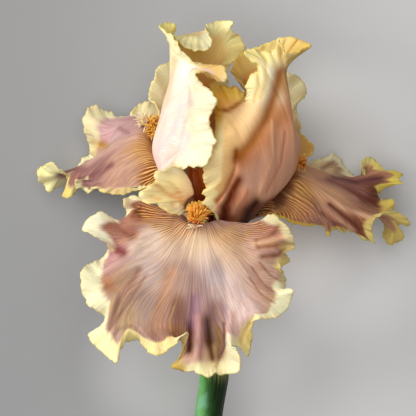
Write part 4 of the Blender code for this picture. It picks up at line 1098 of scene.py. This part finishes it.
add_petal(
    "standard_right", STANDARD_RIGHT, (600, 60), standard_finish, vein_count=60, seed=61,
    # Tones: the petal's own peach and cream, with painted light in the pale dabs on its left and neck,
    # which lie in shade, and painted shade in the brown valley dabs and the dark dabs at its foot.
    tones=[
        (212, 158, 124), (5, 50, 31, 6, (248, 206, 140)), (12, 52, 31, 6, (244, 206, 156)),
        (8, 43, 31, 5, (246, 204, 142)), (17, 56, 32, 5, (246, 210, 160)), (22, 66, 34, 6, (255, 246, 212)),
        (24, 72, 34, 5, (255, 252, 222)), (30, 68, 30, 4, (182, 132, 54)), (27, 55, 28, 4, (184, 122, 68)),
        (21, 45, 28, 4, (188, 126, 80)), (15, 38, 28, 4, (170, 104, 56)), (5, 34, 28, 5, (244, 204, 142)),
        (6, 28, 26, 4, (238, 190, 122)), (3, 23, 25, 4, (244, 210, 148)), (18, 30, 26, 7, (182, 144, 124)),
        (26, 38, 22, 7, (186, 144, 122)), (32, 46, 20, 6, (206, 158, 126)), (32, 62, 22, 5, (170, 110, 66)),
        (10, 66, 16, 8, (236, 184, 66)), (24, 80, 22, 8, (248, 226, 150)), (14, 24, 20, 4, (170, 112, 78)),
        (6, 13, 14, 5, (120, 52, 6)), (18, 17, 16, 4, (120, 52, 14)), (25, 22, 15, 4, (116, 54, 26)),
        (30, 28, 10, 5, (150, 88, 56))],
    # Rims: the cream margin, painted deep gold where it curls into shade, as painted shade.
    rims=[
        (248, 232, 182), (4, 58, 19, 8, (226, 174, 50)), (10, 66, 18, 7, (232, 190, 80)),
        (0, 34, 30, 6, (255, 224, 172)), (2, 23, 28, 5, (255, 232, 172)),
        (-1, 19, 28, 2.5, (255, 232, 196)), (20, 82, 14, 6, (238, 216, 140)),
        (10, 74, 8, 8, (214, 184, 100)), (18, 79, 35, 5, (246, 230, 160)), (36, 80, 26, 6, (220, 184, 96))],
    bands=[
        (4.0, 0.3), (-1, 34, 30, 6, (10.0, 0.05)), (1, 24, 28, 4, (5.5, 0.1)), (1, 46, 31, 6, (6.0, 0.3)),
        (3, 56, 20, 8, (9.0, 0.3)), (12, 64, 21, 8, (8.0, 0.3)), (18, 72, 34, 7, (8.0, 0.6)),
        (26, 80, 34, 8, (9.0, 0.3)), (38, 83, 24, 8, (9.0, 0.3)), (16, 80, 12, 10, (9.0, 0.3))],
    # Folds: painted shade in the valleys and the near-black wedge at the foot, and a painted highlight on
    # the ridges (negative depth).
    folds=[
        (2.2, 1.3, 20, (176, 96, 14), [(11.8, 40), (12, 34), (9.8, 28.5), (7.6, 24), (4.4, 20.5)]),
        (-1.2, 1.1, 18, (232, 178, 142), [(12.5, 36), (11.3, 30), (8.6, 25), (6, 20.5), (2.2, 15.5)]),
        (3.0, 1.8, 16, (116, 42, 8), [(12.6, 28.6), (10.6, 25.4), (8.8, 21), (7, 18)]),
        (-1.2, 1.2, 14, (200, 144, 114), [(15.2, 24.3), (13.5, 21), (11, 17.3), (9.5, 13.7)]),
        (2.0, 1.8, 8, (60, 14, 0), [(19.5, 20), (16.5, 16.5), (14.6, 12)]),
        (0.4, 2.6, 4, (50, 8, 0), [(25, 17), (19, 13.2), (14, 11)]),
        (1.0, 2.0, 4, (96, 34, 4), [(7.6, 17), (6, 13.4)]),
        (1.8, 2.4, 18, (166, 106, 50), [(29, 72), (26.5, 62), (23.5, 53), (18, 43.5), (12.5, 37)]),
        (1.2, 1.0, 12, (156, 96, 16), [(3, 56.6), (8.8, 56.2), (14.4, 60.4)]),
        (-1.0, 4.0, 18, None, [(24.5, 72), (21.5, 62), (17.5, 54), (9, 47)]),
        (0.6, 0.8, 18, (222, 180, 112), [(20, 74), (20.6, 66), (18.6, 60)]),
        (0.5, 0.8, 18, (236, 200, 136), [(23, 76), (23.4, 68), (21, 61)]),
        (0.5, 2.2, 15, None, [(22, 42), (20, 28)]), (0.5, 2.0, 12, None, [(29, 50), (25, 30)]),
        (-0.5, 0.7, 12, (206, 158, 124), [(26, 52), (26.4, 38), (21, 24)]),
        (0.3, 0.6, 12, (180, 122, 98), [(31, 48), (29.5, 36), (23.5, 24)]),
        (0.9, 0.7, 12, (212, 176, 92), [(29, 78), (31.5, 85)]),
        (0.9, 0.7, 12, (216, 182, 98), [(31, 77), (36, 84.5)]),
        (0.9, 0.7, 12, (206, 168, 84), [(32, 75.5), (39.5, 81)])],
    nudges=[
        (36, 58, 18, 7, (-4.0, 0, 0)), (36, 66, 18, 6, (-2.0, 0, 0)), (38, 38, 16, 4, (-2.5, 0, 0)),
        (5, 15, 20, 4, (0, -3, 0))], crimp=0.9)
add_petal(
    "standard_back", STANDARD_BACK, (400, 46), standard_finish, vein_count=52, seed=71,
    tones=[
        (222, 190, 140), (-10, 50, -18, 10, (232, 196, 160)), (28, 52, -18, 12, (216, 186, 122)),
        (32, 42, -13, 8, (206, 160, 92))],
    # The near-white rim on the left frill is painted light, lightening it where it lies in shade.
    rims=[(252, 246, 208), (40, 42, -11, 5, (216, 176, 90)), (-20, 66, -10, 8, (255, 252, 216))],
    bands=[
        (6.0, 0.3), (-18, 70, -12, 10, (11.0, 0.3)), (36, 62, -12, 10, (10.0, 0.3)),
        (39, 42, -11, 6, (8.0, 0.3))],
    hafts=[(1, 14, -10, 9, 1.0)], crimp=0.6)

# The stamens: one under each style arm, a slim pale filament that springs from the mouth of the tube
# and carries a long, grooved anther with pale pollen.
STAMEN_SIDES = 20
STAMEN_RINGS = 40
stamen_finish = Finish("stamen_pale", 0.5, 0.35)
stamen_grain = stamen_finish.noise(stamen_finish.place(), 900.0, 3.0)
stamen_pollen = stamen_grain.rise(0.4, 0.6).blend(paint(206, 178, 110), paint(240, 226, 176))
stamen_colour = stamen_finish.mark("height").rise(0.5, 0.56).blend(paint(222, 206, 176), stamen_pollen)
stamen_finish.coat(stamen_colour, stamen_grain, 0.5)


def add_stamen(side, midline):
    """Filament and anther along the midline, closed at both ends; four grooves run down the anther."""
    t = np.linspace(0, 1, STAMEN_RINGS)
    line = smooth_line(midline, STAMEN_RINGS)
    radii = np.interp(t, [0, 0.06, 0.5, 0.56, 0.9, 0.97, 1.0], [0.35, 0.55, 0.45, 1.0, 0.9, 0.6, 0.15])
    turn = np.linspace(0, 2 * np.pi, STAMEN_SIDES, endpoint=False)
    grooves = 1 - 0.18 * (t[:, None] > 0.53) * np.cos(2 * turn)[None] ** 2
    rings = round_stalk(line, radii, STAMEN_SIDES)
    rings = line[:, None] + (rings - line[:, None]) * grooves[..., None]
    made = put_together("anther_" + side, rings, stamen_finish, {"height": t[:, None]}, "rod")
    hand_over(made, "stamen_" + side)


add_stamen("front", [(1.3, -0.4, 4), (0.9, 5, 7.2), (-0.2, 10.5, 11.5), (-1.5, 14.5, 15.5),
                     (-2.2, 17, 18.5)])
add_stamen("left", [(-2.3, 1.1, -1.7), (-4.6, 7.5, -2.8), (-7.2, 13.5, -3.9), (-9.8, 19.5, -5),
                    (-12, 25, -6)])
add_stamen("right", [(4.7, 1.1, -1.7), (8.6, 6, -2.6), (13, 12, -3.2), (17.5, 17.8, -3.4),
                     (22, 23.4, -3.6)])

# The style arms: three narrow petal-like arms that spring from the tube and arch over the stamens.
# Each ends in a crest of two upright lobes with a finely toothed rim.
STYLE_COLUMNS = 45
STYLE_ROWS = 70
STYLE_THICKNESS = 0.6
style_finish = Finish("style_amber", 0.45, 0.4, (0.25, (1.0, 0.5, 0.25), 0.0012))
style_height = style_finish.mark("height")
style_streak = style_finish.streaks(style_finish.mark("across") * 9.0, style_height * 3.0)
# Dark red low down and amber towards the crest: partly the arm's own colour and partly painted shade deep
# in the throat.
style_low = style_streak.rise(0.4, 0.6).blend(paint(92, 4, 0), paint(132, 24, 2))
style_high = style_streak.rise(0.4, 0.65).blend(paint(196, 88, 6), paint(222, 132, 30))
style_finish.coat(style_height.rise(0.5, 0.95).blend(style_low, style_high), style_streak, 0.4)


def add_style_arm(side_name, midline, inward, seed):
    """Roof-shaped strip along the midline that widens into its two-lobed crest."""
    t = np.linspace(0, 1, STYLE_ROWS)
    line = smooth_line(midline, STYLE_ROWS)
    ahead, side, up = [way[:, None] for way in ways_along(line, inward)]
    half_width = np.interp(t, [0, 0.3, 0.75, 0.88, 1.0], [0.9, 2.2, 3.0, 3.6, 2.8])[:, None]
    roof = np.interp(t, [0, 0.3, 0.8, 1.0], [0.1, 0.9, 1.3, 0.4])[:, None]
    cleft = np.interp(t, [0, 0.85, 1.0], [0.0, 0.0, 2.6])[:, None]
    across = np.linspace(-1, 1, STYLE_COLUMNS)
    rib = 0.12 * np.exp(-(across / 0.12) ** 2)
    frill = np.clip((t - 0.8) / 0.2, 0, 1)[:, None]
    grid = line[:, None] + side * (half_width * across)[..., None]
    grid += up * (roof * (0.5 - across**2) + rib)[..., None]
    grid -= ahead * (cleft * (1 - np.abs(across)) ** 2)[..., None]
    grid += up * (0.35 * frill * ripple(across * 9, 3.0, seed))[..., None]
    grid += ahead * (0.3 * frill**2 * ripple(across * 9, 1.6, seed + 1))[..., None]
    made = put_together("style_crest_" + side_name, grid, style_finish,
                        {"height": t[:, None], "across": np.abs(across)})
    thicken(made, STYLE_THICKNESS)
    hand_over(made, "style_arm_" + side_name)


add_style_arm("front", [(1.2, 0.1, 2), (0.8, 6, 4), (-0.4, 13, 7.5), (-2, 20.5, 11.5), (-3.4, 28, 14.5),
                        (-4, 34.5, 14)], inward=(0.1, 0.75, -0.66), seed=81)
add_style_arm("left", [(-0.4, 0.7, 0.1), (-2.8, 8, -0.8), (-5.8, 15, -1.8), (-9, 22.5, -2.8),
                       (-12, 30, -4), (-13.5, 37, -6)], inward=(0.86, 0.0, 0.5), seed=82)
add_style_arm("right", [(2.8, 0.7, 0.1), (5.3, 7.5, -1), (8.3, 14, -2.2), (12, 20.5, -3.8),
                        (16.5, 26.5, -5.8), (20.5, 31, -8)], inward=(-0.75, 0.45, 0.48), seed=83)
